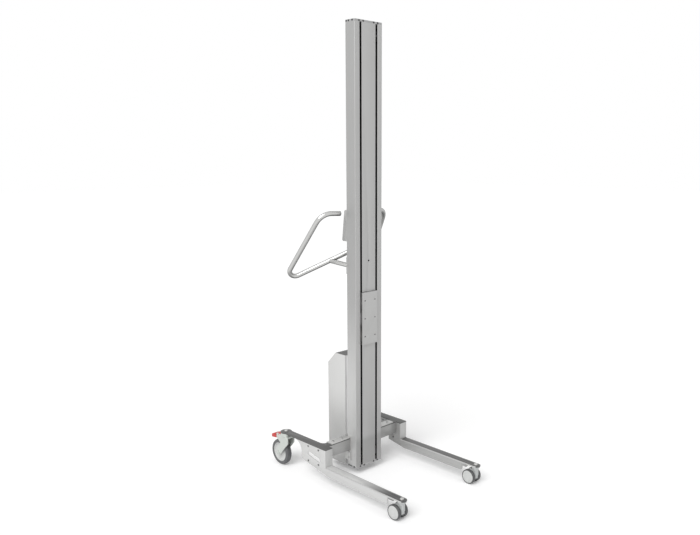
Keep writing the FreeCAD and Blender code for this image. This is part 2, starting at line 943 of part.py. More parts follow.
def cover_outline(inset):
    """Side view of the cover, moved inwards by the inset."""
    back = size.cover_back - inset
    run = size.cover_chamfer_run
    drop = size.cover_chamfer_drop
    slope = math.hypot(float(run), float(drop))
    shift = inset * ((slope - float(drop)) / float(run))
    lift = inset * ((slope - float(run)) / float(drop))
    top = size.cover_high - size.mast_low - inset
    return [
        (frame_back, 0),
        (back, 0),
        (back, top + inset - drop - lift),
        (size.cover_back - run - shift, top),
        (frame_back, top),
    ]


def make_housing_cover():
    """Folded sheet cover with a sloping top edge, open towards the mast and below."""
    body = new_body("housing_cover", z=size.mast_low)
    side = new_sketch(body, "side", "YZ_Plane")
    draw_polygon(side, cover_outline(as_value(0)))
    solid = add_pad(body, side, size.mast_width, symmetric=True)

    def folded(edge):
        spot = edge.CenterOfMass
        behind = spot.y > float(frame_back) + 1
        above = spot.z > 1
        return behind and above and abs(abs(spot.x) - float(mast_half)) > 1

    add_fillet(body, solid, folded, 3)
    hollow = new_sketch(body, "hollow", "YZ_Plane")
    inner = cover_outline(size.cover_sheet)
    inner[0] = (frame_back - 1, -1)
    inner[1] = (inner[1][0], -1)
    inner[4] = (frame_back - 1, inner[4][1])
    draw_polygon(hollow, inner)
    add_pocket(body, hollow, size.mast_width - size.cover_sheet * 2, symmetric=True)
    holes = new_sketch(body, "top_holes", "XY_Plane", cover_length - size.cover_sheet - 1)
    for x in (-1, 1):
        draw_circle(holes, size.frame_width * 0.39 * x, frame_back + 14, size.screw_radius)
    add_pocket(body, holes, size.cover_sheet + 2, reverse=True)
    inlet = new_sketch(body, "inlet_hole", "XZ_Plane", -size.cover_back)
    draw_circle(inlet, 0, 130, 11)
    add_pocket(body, inlet, size.cover_sheet + 1, reverse=True)
    return body


def cover_screws():
    """Two button-head screws that hold the cover to the frame's top lug."""
    screws = []
    for x in (-1, 1):
        seat = point(size.frame_width * 0.39 * x, frame_back + 14, size.cover_high)
        shank = cylinder(size.screw_radius - 0.1, 10, seat, UP * -1)
        head = cylinder(size.screw_head_radius, size.screw_head, seat, UP)
        screws.append(shank.fuse(head))
    return screws


def make_charge_inlet():
    """Round three-pin charging inlet, flush in the back of the cover."""
    base = point(0, size.cover_back - 16, size.mast_low + 130)
    barrel = cylinder(10.8, 16, base, BACK)
    rim = cylinder(15, 2.5, point(0, size.cover_back, size.mast_low + 130), BACK)
    body = barrel.fuse(rim)
    for index in range(3):
        angle = math.radians(90 + 120 * index)
        spot = base + Vector(5 * math.cos(angle), 8, 5 * math.sin(angle))
        body = body.cut(cylinder(1.5, 20, spot, BACK))
    return add_feature("charging_inlet", [body])


gearbox_side = size.link_belt_width / 2 + 5


def make_gearbox():
    """Worm gearbox beside the link belt, with its output towards the middle."""
    body = new_body("worm_gearbox", z=size.mast_low + size.sheet)
    outline = new_sketch(body, "outline", "XY_Plane")
    middle = size.track_centre + size.link_reach
    low = middle - size.gearbox_depth / 2
    high = middle + size.gearbox_depth / 2
    draw_box(outline, -gearbox_side - size.gearbox_width, -gearbox_side, low, high)
    solid = add_pad(body, outline, size.gearbox_height + 16)
    add_fillet(body, solid, lambda edge: is_along(edge, UP), 8)
    bore = new_sketch(body, "output_bore", "YZ_Plane", -gearbox_side + 1)
    height = size.drive_height - size.mast_low - size.sheet
    draw_circle(bore, middle, height, size.shaft_radius + size.running_gap)
    add_pocket(body, bore, size.gearbox_width + 2)
    return body


motor_base = size.mast_low + size.sheet + size.gearbox_height + 16


def make_lift_motor():
    """Upright motor on the gearbox: a turned can with a flange and an end bell."""
    x = -gearbox_side - size.gearbox_width / 2
    body = new_body("lift_motor", x=x, y=size.track_centre + size.link_reach, z=motor_base)
    outline = new_sketch(body, "section", "XZ_Plane")
    radius = size.motor_radius
    length = size.motor_length
    corners = [
        (0, 0),
        (radius, 0),
        (radius, 6),
        (radius - 3, 7),
        (radius - 3, length - 24),
        (radius - 1, length - 23),
        (radius - 1, length - 8),
        (radius - 9, length),
        (0, length),
    ]
    draw_polygon(outline, corners)
    add_turn(body, outline)
    return body


def make_batteries():
    """Two sealed batteries with raised terminals, one above the other."""
    blocks = []
    half = float(size.battery_length) / 2
    front = float(frame_back) + 6
    for index in range(2):
        low = float(size.battery_low) + index * float(size.battery_height + size.battery_gap)
        corner = Vector(-half, front, low)
        block = Part.makeBox(2 * half, float(size.battery_depth), float(size.battery_height), corner)
        block = block.makeFillet(3, [e for e in block.Edges if is_along(e, UP)])
        for x in (-0.7, 0.7):
            spot = Vector(half * x, front + 18, low + float(size.battery_height))
            block = block.fuse(cylinder(5, 3, spot, UP))
        blocks.append(block)
    return add_feature("batteries", blocks)


def make_controller():
    """Motor controller on the frame: a finned heat sink block."""
    body = new_body("motor_controller", z=size.battery_low + size.battery_height * 2 + 20)
    outline = new_sketch(body, "section", "XY_Plane")
    face = size.mast_depth + size.sheet
    fins = [(-50, face), (50, face)]
    right = 50
    for _ in range(6):
        left = right - 8
        fins.append((right, face + 26))
        fins.append((left, face + 26))
        fins.append((left, face + 14))
        fins.append((left - 10.4, face + 14))
        right = left - 10.4
    draw_polygon(outline, fins[:-2])
    add_pad(body, outline, 70)
    return body


# Legs: folded channels that stand high at the rear and drop to a low toe in front

leg_half = size.leg_width / 2
step_height = size.leg_high - size.top_plate
toe_height = size.leg_low - size.top_plate
arch_top = size.leg_rear + size.wheel_arch


def leg_profile():
    """Side view of the leg's side plates, seen from +X: y along, z up."""
    return [
        Vector(0, -float(size.leg_front), float(size.leg_bottom)),
        Vector(0, -float(size.leg_kink), float(size.leg_bottom)),
        Vector(0, float(size.leg_rear), float(size.leg_rear_bottom)),
        Vector(0, float(size.leg_rear), float(step_height - size.wheel_arch)),
        Vector(0, float(arch_top), float(step_height)),
        Vector(0, float(size.step_place), float(step_height)),
        Vector(0, float(size.step_place), float(toe_height)),
        Vector(0, -float(size.leg_front), float(toe_height)),
    ]


def make_leg(name, side):
    """Two side plates joined by the step face; slot and spacer holes go through both."""
    body = new_body(f"{name}_leg", x=size.leg_centre * side)
    outline = new_sketch(body, "side", "YZ_Plane")
    spots = [Vector(v.y, v.z, 0) for v in leg_profile()]
    arch = float(size.wheel_arch)
    centre = Vector(spots[4].x, spots[3].y, 0)
    bend = centre + Vector(-math.sqrt(0.5), math.sqrt(0.5), 0) * arch
    for index, spot in enumerate(spots):
        following = spots[(index + 1) % len(spots)]
        if index == 3:
            outline.addGeometry(Part.Arc(spot, bend, following), False)
        else:
            outline.addGeometry(Part.LineSegment(spot, following), False)
    solid = add_pad(body, outline, size.leg_width, symmetric=True)

    def toe_corner(edge):
        spot = edge.CenterOfMass
        low = abs(spot.z - float(size.leg_bottom)) < 1e-6
        return is_along(edge, RIGHT) and low and spot.y < -float(size.leg_kink) - 1

    add_fillet(body, solid, toe_corner, 14)
    hollow = new_sketch(body, "hollow", "XY_Plane")
    inner = leg_half - size.leg_plate
    draw_box(hollow, -inner, inner, size.step_place + size.leg_plate, arch_top + 1)
    draw_box(hollow, -inner, inner, -size.leg_front - 1, size.step_place)
    add_pocket(body, hollow)
    slot = new_sketch(body, "slot", "YZ_Plane")
    draw_obround(
        slot,
        size.window_centre_y,
        size.window_centre_z,
        size.window_length + size.window_height,
        size.window_height,
        size.window_slope,
    )
    for y, z in spacer_places():
        draw_circle(slot, y, z, size.screw_radius)
    add_pocket(body, slot)
    relief = new_sketch(body, "relief", "YZ_Plane")
    relief_top = size.window_centre_z + size.window_height / 2
    draw_box(relief, size.window_centre_y, arch_top + 1, size.leg_bottom - 1, relief_top)
    add_pocket(body, relief, leg_half + 1, reverse=side < 0)
    return body


def spacer_places():
    """Centres of the four spacers between a leg's side plates."""
    for along in (-0.5, 0.5):
        for up in (-0.5, 0.5):
            y = size.spacer_centre_y + size.spacer_across * along
            z = size.spacer_centre_z + size.spacer_up * up
            yield y, z


def is_boss(y, z):
    """True for the low rear place, where the inner plate is cut away."""
    return float(y) > float(size.spacer_centre_y) and float(z) < float(size.spacer_centre_z)


def make_leg_spacers():
    """Six turned spacers that hold the side plates apart, and two short bosses."""
    tubes = []
    inner_half = leg_half - size.leg_plate
    for side in SIDES.values():
        for y, z in spacer_places():
            base = point((size.leg_centre + inner_half) * side, y, z)
            length = size.leg_boss if is_boss(y, z) else inner_half * 2
            tube = cylinder(size.spacer_radius, length, base, RIGHT * -side)
            hole = cylinder(size.screw_radius, length, base, RIGHT * -side)
            tubes.append(tube.cut(hole))
    return add_feature("leg_spacers", tubes)


def leg_screws():
    """Screws with low round heads, one at each end of every spacer and one in each boss."""
    screws = []
    for side in SIDES.values():
        for y, z in spacer_places():
            for face in (side,) if is_boss(y, z) else (-1, 1):
                seat = point(size.leg_centre * side + leg_half * face, y, z)
                shank = cylinder(size.screw_radius - 0.1, 18, seat, RIGHT * -face)
                head = cylinder(size.screw_head_radius, 1.6, seat, RIGHT * face)
                screws.append(shank.fuse(head))
    return screws


def make_toe_strip(name, side):
    """Flat bar along the low toe, with a round end over the front caster."""
    body = new_body(f"{name}_toe_strip", x=size.leg_centre * side, z=toe_height)
    outline = new_sketch(body, "outline", "XY_Plane")
    tip = -size.front_pivot - leg_half
    round_end = float(leg_half) * 0.999
    corners = [
        (-leg_half, size.step_place),
        (-leg_half, tip, round_end),
        (leg_half, tip, round_end),
        (leg_half, size.step_place),
    ]
    draw_rounded(outline, corners)
    add_pad(body, outline, size.top_plate)
    hole = new_sketch(body, "stud_hole", "XY_Plane")
    draw_circle(hole, 0, -size.front_pivot, size.stud_radius)
    add_pocket(body, hole)
    return body


arm_rear = size.arm_front + size.arm_depth
arm_outer = size.leg_centre - leg_half
arm_inner = mast_half + size.bracket_thickness


def make_top_plate(name, side):
    """Plate over the high end of the leg and the cross arm, round over the rear caster."""
    body = new_body(f"{name}_top_plate", z=step_height)
    outline = new_sketch(body, "outline", "XY_Plane")
    outer = float(size.leg_centre + leg_half)
    inner = float(arm_outer)
    centre = float(size.leg_centre)
    pivot = float(size.rear_pivot)
    disc = float(size.rear_disc_radius)
    half = float(leg_half)
    neck = pivot - math.sqrt(disc * disc - half * half)
    fillet = float(size.gusset_radius)
    arm_end = float(arm_inner)
    front = float(size.arm_front)
    rear = float(arm_rear)
    step = float(size.step_place)
    bend = fillet * (1 - math.sqrt(0.5))
    spots = [
        Vector(outer, step, 0),
        Vector(outer, neck, 0),
        Vector(inner, neck, 0),
        Vector(inner, rear + fillet, 0),
        Vector(inner - fillet, rear, 0),
        Vector(arm_end, rear, 0),
        Vector(arm_end, front, 0),
        Vector(inner, front, 0),
        Vector(inner, step, 0),
    ]
    bends = {1: Vector(centre, pivot + disc, 0), 3: Vector(inner - bend, rear + bend, 0)}
    for index, spot in enumerate(spots):
        start = Vector(spot.x * side, spot.y, 0)
        following = spots[(index + 1) % len(spots)]
        end = Vector(following.x * side, following.y, 0)
        if index in bends:
            middle = Vector(bends[index].x * side, bends[index].y, 0)
            outline.addGeometry(Part.Arc(start, middle, end), False)
        else:
            outline.addGeometry(Part.LineSegment(start, end), False)
    add_pad(body, outline, size.top_plate)
    hole = new_sketch(body, "stud_hole", "XY_Plane")
    draw_circle(hole, size.leg_centre * side, size.rear_pivot, size.stud_radius)
    add_pocket(body, hole)
    return body


def make_cross_arm(name, side):
    """Box tube from the mast bracket to the leg."""
    body = new_body(f"{name}_cross_arm", z=step_height - size.arm_height)
    start = arm_inner if side > 0 else -arm_outer
    section = new_sketch(body, "section", "YZ_Plane", start)
    draw_box(section, size.arm_front, arm_rear, 0, size.arm_height)
    wall = size.arm_wall
    draw_box(section, size.arm_front + wall, arm_rear - wall, wall, size.arm_height - wall)
    add_pad(body, section, arm_outer - arm_inner)
    return body


def make_arm_bracket(name, side):
    """Angle bracket: one flange on the mast's side, one on top of the cross arm."""
    body = new_body(f"{name}_arm_bracket")
    section = new_sketch(body, "section", "XZ_Plane", -arm_rear)
    thick = size.bracket_thickness
    top = size.leg_high + thick
    reach = mast_half + size.bracket_reach
    corners = [
        (mast_half, size.bracket_low),
        (arm_inner, size.bracket_low),
        (arm_inner, size.leg_high),
        (reach, size.leg_high),
        (reach, top),
        (mast_half, top),
    ]
    corners = [(x * side, z) for x, z in corners]
    draw_polygon(section, corners)
    add_pad(body, section, size.arm_depth)
    holes = new_sketch(body, "mast_holes", "YZ_Plane")
    for y, z in bracket_bolts():
        draw_circle(holes, y, z, size.screw_radius)
    add_pocket(body, holes)
    return body


def arm_bolts():
    """Hex-head bolts through the brackets: two into the mast, two into each cross arm."""
    bolts = []
    for side in SIDES.values():
        for y, z in bracket_bolts():
            seat = point(arm_inner * side, y, z)
            shank_length = size.bracket_thickness + size.side_wall
            shank = cylinder(size.screw_radius - 0.1, shank_length, seat, RIGHT * -side)
            head = cylinder(size.screw_head_radius, 4, seat, RIGHT * side)
            bolts.append(shank.fuse(head))
        for share in (0.35, 0.8):
            x = (mast_half + size.bracket_reach * share) * side
            seat = point(x, size.arm_front + size.arm_depth / 2, size.leg_high + size.bracket_thickness)
            bolts.append(cylinder(size.screw_head_radius + 1.5, 5, seat, UP))
    return bolts


# Handle: one bent tube, held off the mast by two stems on a mounting plate


def bent_path(spots, radii):
    """A wire of straight runs and tangent arcs through the given corners."""
    edges = []
    start = spots[0]
    for index in range(1, len(spots) - 1):
        spot = spots[index]
        back = (spots[index - 1] - spot).normalize()
        ahead = (spots[index + 1] - spot).normalize()
        half = back.getAngle(ahead) / 2
        reach = radii[index - 1] / math.tan(half)
        centre = spot + (back + ahead).normalize() * (radii[index - 1] / math.sin(half))
        middle = centre + (spot - centre).normalize() * radii[index - 1]
        entry = spot + back * reach
        leave = spot + ahead * reach
        edges.append(Part.LineSegment(start, entry).toShape())
        edges.append(Part.Arc(entry, middle, leave).toShape())
        start = leave
    edges.append(Part.LineSegment(start, spots[-1]).toShape())
    return Part.Wire(edges)


def tube_along(path, radius):
    """A solid round bar that follows the path."""
    start = path.Edges[0]
    direction = start.tangentAt(start.FirstParameter)
    centre = start.valueAt(start.FirstParameter)
    ring = Part.Wire(Part.Circle(centre, direction, float(radius)).toShape())
    return path.makePipeShell([ring], True, False, 2)


def handle_corners():
    """The handle's corners from the left grip to the right grip."""
    half = [
        point(0, size.handle_middle_y, size.handle_middle_z),
        point(size.handle_corner_x, size.handle_corner_y, size.handle_corner_z),
        point(size.handle_top_x, size.handle_top_y, size.handle_top_z),
        point(size.grip_end_x, size.grip_end_y, size.grip_end_z),
    ]
    mirrored = [Vector(-v.x, v.y, v.z) for v in reversed(half[1:])]
    return mirrored + half


def make_handle():
    path = bent_path(handle_corners(), handle_radii())
    outer = tube_along(path, size.tube_radius)
    inner = tube_along(path, size.tube_radius - size.tube_wall)
    return add_feature("handle_tube", [outer.cut(inner)])


def make_grip_caps():
    """Black plugs in the two free ends of the tube."""
    caps = []
    corners = handle_corners()
    for end, before in ((corners[0], corners[1]), (corners[-1], corners[-2])):
        axis = (end - before).normalize()
        plug_radius = size.tube_radius - size.tube_wall
        plug = cylinder(plug_radius, 14, end - axis * 14, axis)
        lid = cylinder(size.tube_radius, 3, end, axis)
        caps.append(plug.fuse(lid))
    return add_feature("handle_end_caps", caps)


def make_handle_mount():
    """Mounting plate on the mast's back with the two stems welded to it."""
    half = size.mount_plate_width / 2
    low = point(-half, size.mast_depth, size.stem_height - size.mount_plate_height / 2)
    high = point(half, size.mast_depth + size.mount_plate, size.stem_height + size.mount_plate_height / 2)
    plate = box_between(low, high)
    plate = plate.makeFillet(8, [e for e in plate.Edges if is_along(e, BACK)])
    corners = handle_corners()
    middle = corners[3]
    outer = corners[4]
    share = float(size.stem_joint) / outer.x
    bar = middle + (outer - middle) * share
    solid = plate
    path = bent_path(handle_corners(), handle_radii())
    bar_solid = tube_along(path, size.tube_radius)
    for side in SIDES.values():
        base = point(size.stem_place * side, size.mast_depth + size.mount_plate / 2, size.stem_height)
        target = Vector(bar.x * side, bar.y, bar.z)
        span = target - base
        stem = cylinder(size.stem_radius, span.Length, base, span.normalize())
        solid = solid.fuse(stem.cut(bar_solid))
    return add_feature("handle_mount", [solid])


def handle_radii():
    """Bend radii in the order of the handle's corners."""
    radii = [float(r) for r in (size.top_bend, size.corner_bend, size.middle_bend)]
    return radii + [radii[1], radii[0]]


def mount_bolts():
    """Four cap screws through the handle's mounting plate."""
    bolts = []
    for x in (-1, 1):
        for z in (-1, 1):
            place_x = (size.mount_plate_width / 2 - 12) * x
            place_z = size.stem_height + (size.mount_plate_height / 2 - 12) * z
            seat = point(place_x, size.mast_depth + size.mount_plate, place_z)
            bolts.append(cylinder(size.screw_head_radius + 1.5, 6, seat, BACK))
    return bolts


# Control box on the mast's back, its face sloping towards the operator

box_half = size.box_width / 2
box_low = size.stem_height + size.box_up
box_length = size.box_height
box_high = box_low + box_length
face_slope = math.degrees(math.atan2(float(size.box_low_depth - size.box_top_depth), float(box_length)))


def make_control_base():
    """Flat tray of the control box, screwed to the mast."""
    body = new_body("control_base", z=box_low)
    outline = new_sketch(body, "outline", "XZ_Plane", -size.mast_depth - size.box_base)
    draw_box(outline, -box_half, box_half, 0, box_length)
    solid = add_pad(body, outline, size.box_base)
    add_fillet(body, solid, lambda edge: is_along(edge, BACK), 8)
    return body


def face_point(share, across, out):
    """A place on the sloping face: share of its height, across, and out along its normal."""
    top = Vector(0, float(size.mast_depth + size.box_top_depth), float(box_high))
    low = Vector(0, float(size.mast_depth + size.box_low_depth), float(box_low))
    along = top - low
    normal = face_normal()
    return low + along * share + Vector(float(across), 0, 0) + normal * float(out)


def face_normal():
    """Outward normal of the sloping face."""
    slope = math.radians(face_slope)
    return Vector(0, math.cos(slope), math.sin(slope))


BUTTON_SHARES = {"up": 0.66, "down": 0.36}


def make_control_cover():
    """Moulded shell with round-cornered face, pierced for the buttons, rocker and gauge."""
    start = float(size.mast_depth + size.box_base)
    spots = [
        Vector(0, start, float(box_low)),
        Vector(0, float(size.mast_depth + size.box_low_depth), float(box_low)),
        Vector(0, float(size.mast_depth + size.box_top_depth), float(box_high)),
        Vector(0, start, float(box_high)),
    ]
    side = Part.Face(Part.makePolygon(spots + [spots[0]]))
    side.translate(point(-box_half, 0, 0))
    solid = side.extrude(point(size.box_width, 0, 0))
    solid = solid.makeFillet(8, [e for e in solid.Edges if rear_or_corner(e, start)])
    wall = float(size.box_shell)
    inner_spots = [
        Vector(0, start - 1, float(box_low) + wall),
        Vector(0, float(size.mast_depth + size.box_low_depth) - wall, float(box_low) + wall),
        Vector(0, float(size.mast_depth + size.box_top_depth) - wall, float(box_high) - wall),
        Vector(0, start - 1, float(box_high) - wall),
    ]
    inner = Part.Face(Part.makePolygon(inner_spots + [inner_spots[0]]))
    inner.translate(point(-box_half + wall, 0, 0))
    hollow = inner.extrude(point(size.box_width - 2 * wall, 0, 0))
    hollow = hollow.makeFillet(6, [e for e in hollow.Edges if rear_or_corner(e, start - 1)])
    shell = solid.cut(hollow)
    normal = face_normal()
    for share in BUTTON_SHARES.values():
        hole = cylinder(size.button_radius + size.button_gap, 24, face_point(share, 0, -12), normal)
        shell = shell.cut(hole)
    for across, width, height in ((-46, size.rocker_width, size.rocker_height), (46, 24, 40)):
        hole = face_block(0.5, across, width + 2 * size.button_gap, height + 2 * size.button_gap, -12, 24)
        shell = shell.cut(hole)
    return add_feature("control_cover", [shell])


def rear_or_corner(edge, start):
    """Edges of the box shell that are rounded: all but those on the tray side."""
    return min(v.Y for v in edge.Vertexes) > start + 1 or is_along(edge, BACK)


def face_block(share, across, width, height, low, rise):
    """A block square to the sloping face, centred at a place on it."""
    block = Part.makeBox(float(width), float(rise), float(height))
    block.translate(Vector(-float(width) / 2, 0, -float(height) / 2))
    block.rotate(Vector(0, 0, 0), RIGHT, face_slope)
    block.translate(face_point(share, across, low))
    return block


def make_button(name):
    """Round push button with a crowned cap and a retaining collar behind the face."""
    share = BUTTON_SHARES[name]
    normal = face_normal()
    stem_back = -float(size.box_shell) - 6
    rise = float(size.button_rise)
    cap = cylinder(size.button_radius, rise - stem_back, face_point(share, 0, stem_back), normal)
    crown = [e for e in cap.Edges if e.Curve.TypeId == "Part::GeomCircle" and is_front(e, share)]
    cap = cap.makeFillet(2, crown)
    collar_back = -float(size.box_shell) - 1.7
    collar = cylinder(size.button_radius + 2, 1.5, face_point(share, 0, collar_back), normal)
    return add_feature(f"{name}_button", [cap.fuse(collar)])


def is_front(edge, share):
    """True for the edge at the outer end of a button."""
    centre = edge.Curve.Center
    return (centre - face_point(share, 0, 0)).dot(face_normal()) > 0


def make_power_rocker():
    """Rocker switch key in its frame."""
    return add_feature("power_rocker", [rocker_key()])


def rocker_key():
    """A key with two sloping faces that meet at a low ridge."""
    width = float(size.rocker_width)
    height = float(size.rocker_height)
    spots = [
        Vector(-width / 2, -8, -height / 2),
        Vector(-width / 2, 3.5, -height / 2),
        Vector(-width / 2, 1.2, 0),
        Vector(-width / 2, 3.5, height / 2),
        Vector(-width / 2, -8, height / 2),
    ]
    key = Part.Face(Part.makePolygon(spots + [spots[0]])).extrude(Vector(width, 0, 0))
    key.rotate(Vector(0, 0, 0), RIGHT, face_slope)
    key.translate(face_point(0.5, -46, 0))
    return key


def make_gauge():
    """Battery gauge window, flush in the face."""
    return add_feature("battery_gauge", [face_block(0.5, 46, 24, 40, -4, 5)])


# Casters: the rear pair is large and locks by a pedal, the front pair has twin wheels


def make_studs():
    """Four pivot studs with round caps above the leg plates."""
    studs = []
    for side in SIDES.values():
        for y, top, low in (
            (-size.front_pivot, size.leg_low, toe_height - 16),
            (size.rear_pivot, size.leg_high, size.fork_head_low + 6),
        ):
            x = size.leg_centre * side
            shank = cylinder(size.stud_radius - 0.1, top - low, point(x, y, low), UP)
            cap = cylinder(size.stud_cap_radius, size.stud_cap_height, point(x, y, top), UP)
            crown = [e for e in cap.Edges if e.CenterOfMass.z > float(top) + 1]
            crown = [e for e in crown if e.Curve.TypeId == "Part::GeomCircle"]
            cap = cap.makeFillet(3, crown)
            studs.append(shank.fuse(cap))
    return add_feature("caster_studs", studs)


def tangent_spot(start, centre, radius, turn):
    """Where a straight edge from start touches a circle across X; turn picks the side."""
    reach = (start - centre).Length
    angle = math.acos(radius / reach) * turn
    away = (start - centre).normalize()
    y = away.y * math.cos(angle) - away.z * math.sin(angle)
    z = away.y * math.sin(angle) + away.z * math.cos(angle)
    return centre + Vector(0, y, z) * radius


def make_rear_fork(name, side):
    """Swivel fork: round head, two raked arms down to the axle and a brake housing behind."""
    head_high = float(size.fork_head_high)
    head_low = float(size.fork_head_low)
    head_radius = float(size.fork_head_radius)
    half = float(size.fork_half)
    leg = float(size.fork_leg)
    trail = float(size.rear_trail)
    axle = float(size.rear_wheel_radius)
    arm = float(size.fork_arm_width) / 2
    head = cylinder(head_radius, head_high - head_low, Vector(0, 0, head_low), UP)
    head = head.makeFillet(5, [e for e in head.Edges if abs(e.CenterOfMass.z - head_low) < 1e-6])
    top = head_low + 8
    rear = float(size.fork_rear)
    front = -float(size.fork_front)
    centre = Vector(0, trail, axle)
    knee = Vector(0, front, float(size.fork_front_low))
    notch = Vector(0, float(size.fork_notch_y), float(size.fork_notch_z))
    low_touch = tangent_spot(knee, centre, arm, 1)
    high_touch = tangent_spot(notch, centre, arm, -1)
    ahead = (centre * 2 - knee - notch).normalize()
    edges = [
        Part.LineSegment(Vector(0, front, top), knee).toShape(),
        Part.LineSegment(knee, low_touch).toShape(),
        Part.Arc(low_touch, centre + ahead * arm, high_touch).toShape(),
        Part.LineSegment(high_touch, notch).toShape(),
        Part.LineSegment(notch, Vector(0, rear, float(size.fork_rear_low))).toShape(),
        Part.LineSegment(Vector(0, rear, float(size.fork_rear_low)), Vector(0, rear, top)).toShape(),
        Part.LineSegment(Vector(0, rear, top), Vector(0, front, top)).toShape(),
    ]
    arm_face = Part.Face(Part.Wire(edges))
    solid = head
    for start in (-half, half - leg):
        plate = arm_face.extrude(Vector(leg, 0, 0))
        plate.translate(Vector(start, 0, 0))
        solid = solid.fuse(plate)
    bridge = box_between(Vector(-half, front, head_low - 2), Vector(half, rear, top))
    solid = solid.fuse(bridge)
    boss_radius = float(size.rear_bolt_radius) + 4
    for start in (-half - 2, half - leg):
        boss = cylinder(boss_radius, leg + 2, Vector(start, trail, axle), RIGHT)
        solid = solid.fuse(boss)
    bore = cylinder(size.rear_bolt_radius, 2 * half + 10, Vector(-half - 5, trail, axle), RIGHT)
    stem = cylinder(size.stud_radius, 40, Vector(0, 0, head_low + 5.5), UP)
    pin_place = Vector(-half - 1, float(size.pedal_hinge_y), float(size.pedal_hinge_z))
    pin_hole = cylinder(size.pedal_pin_radius + size.running_gap, 2 * half + 2, pin_place, RIGHT)
    slot_half = float(size.pedal_width) / 2 - 3
    slot = box_between(
        Vector(-slot_half, float(size.pedal_hinge_y) - 8, head_low - 20),
        Vector(slot_half, float(size.pedal_hinge_y) + 30, head_high + 1),
    )
    solid = solid.cut(slot).cut(bore).cut(stem).cut(pin_hole).removeSplitter()
    parts = [solid, rear_axle()]
    return add_feature(f"rear_{name}_fork", parts, x=size.leg_centre * side, y=size.rear_pivot)


def rear_axle():
    """Through bolt of a rear wheel, with a low head and a nut."""
    half = float(size.fork_half) + 2
    trail = float(size.rear_trail)
    axle = float(size.rear_wheel_radius)
    bolt = cylinder(size.rear_bolt_radius - 0.1, 2 * half, Vector(-half, trail, axle), RIGHT)
    for start in (-half - 4, half):
        bolt = bolt.fuse(cylinder(size.rear_bolt_radius + 3, 4, Vector(start, trail, axle), RIGHT))
    return bolt


def make_rear_core(name, side):
    """Wheel centre: dished disc, hub and rim, turned about the axle."""
    x = size.leg_centre * side
    y = size.rear_pivot + size.rear_trail
    body = new_body(f"rear_{name}_wheel_core", x=x, y=y, z=size.rear_wheel_radius)
    section = new_sketch(body, "section", "XY_Plane")
    half = size.rear_wheel_width / 2
    rim = size.rear_core_radius
    bore = size.rear_bolt_radius
    hub = half + 1.5
    corners = [
        (-hub, bore),
        (hub, bore),
        (hub, bore + 8),
        (half - 9, bore + 12),
        (half - 9, rim - 9),
        (half - 3, rim - 5),
        (half - 3, rim),
        (3 - half, rim),
        (3 - half, rim - 5),
        (9 - half, rim - 9),
        (9 - half, bore + 12),
        (-hub, bore + 8),
    ]
    draw_polygon(section, corners)
    add_turn(body, section, "H_Axis")
    return body


def make_rear_tyre(name, side):
    """Grey tyre with a crowned tread, moulded round the core."""
    x = size.leg_centre * side
    y = size.rear_pivot + size.rear_trail
    body = new_body(f"rear_{name}_tyre", x=x, y=y, z=size.rear_wheel_radius)
    section = new_sketch(body, "section", "XY_Plane")
    half = float(size.rear_wheel_width) / 2
    rim = float(size.rear_core_radius)
    radius = float(size.rear_wheel_radius)
    shoulder = radius - 5
    edges = [
        Part.LineSegment(Vector(-half, rim, 0), Vector(half, rim, 0)),
        Part.LineSegment(Vector(half, rim, 0), Vector(half, shoulder, 0)),
        Part.Arc(Vector(half, shoulder, 0), Vector(0, radius, 0), Vector(-half, shoulder, 0)),
        Part.LineSegment(Vector(-half, shoulder, 0), Vector(-half, rim, 0)),
    ]
    for edge in edges:
        section.addGeometry(edge, False)
    add_turn(body, section, "H_Axis")
    return body


def side_block(corners, half):
    """A block across X with the given side view, centred on x = 0."""
    spots = [Vector(-half, y, z) for y, z in corners]
    return Part.Face(Part.makePolygon(spots + [spots[0]])).extrude(Vector(2 * half, 0, 0))


def make_brake_pedal(name, side):
    """Red foot pedal on a cross pin: a hinge eye and a drooping shell, open below."""
    wide = float(size.pedal_width) / 2
    narrow = wide - 3.3
    length = float(size.pedal_length)
    crest = float(size.pedal_crest)
    tip = -float(size.pedal_tip_drop)
    low = tip - float(size.pedal_tip_height)
    wall = float(size.pedal_shell)
    fork_gap = float(size.fork_rear - size.pedal_hinge_y + size.pedal_clearance)
    eye_radius = float(size.pedal_pin_radius) + 4
    eye = cylinder(eye_radius, 2 * narrow, Vector(-narrow, 0, 0), RIGHT)
    slope = (tip - crest) / (length + 6)
    shell = [(-6, crest), (length, tip), (length, low), (eye_radius + 6, low + 8), (-2, -eye_radius)]
    hollow = [
        (eye_radius + wall, crest - wall + slope * (eye_radius + wall + 6)),
        (length - wall, tip - wall),
        (length - wall, low - 1),
        (eye_radius + wall, low - 1),
    ]
    tread = [
        (fork_gap, crest + slope * (fork_gap + 6)),
        (length, tip),
        (length, low),
        (fork_gap, low + 5),
    ]
    pedal = side_block(shell, narrow).fuse(eye).fuse(side_block(tread, wide))
    pedal = pedal.cut(side_block(hollow, narrow - wall))
    pin_half = float(size.fork_half) - 1
    pin = cylinder(size.pedal_pin_radius, 2 * pin_half, Vector(-pin_half, 0, 0), RIGHT)
    pedal = pedal.fuse(pin).removeSplitter()
    x = size.leg_centre * side
    y = size.rear_pivot + size.pedal_hinge_y
    return add_feature(f"rear_{name}_brake_pedal", [pedal], x=x, y=y, z=size.pedal_hinge_z)


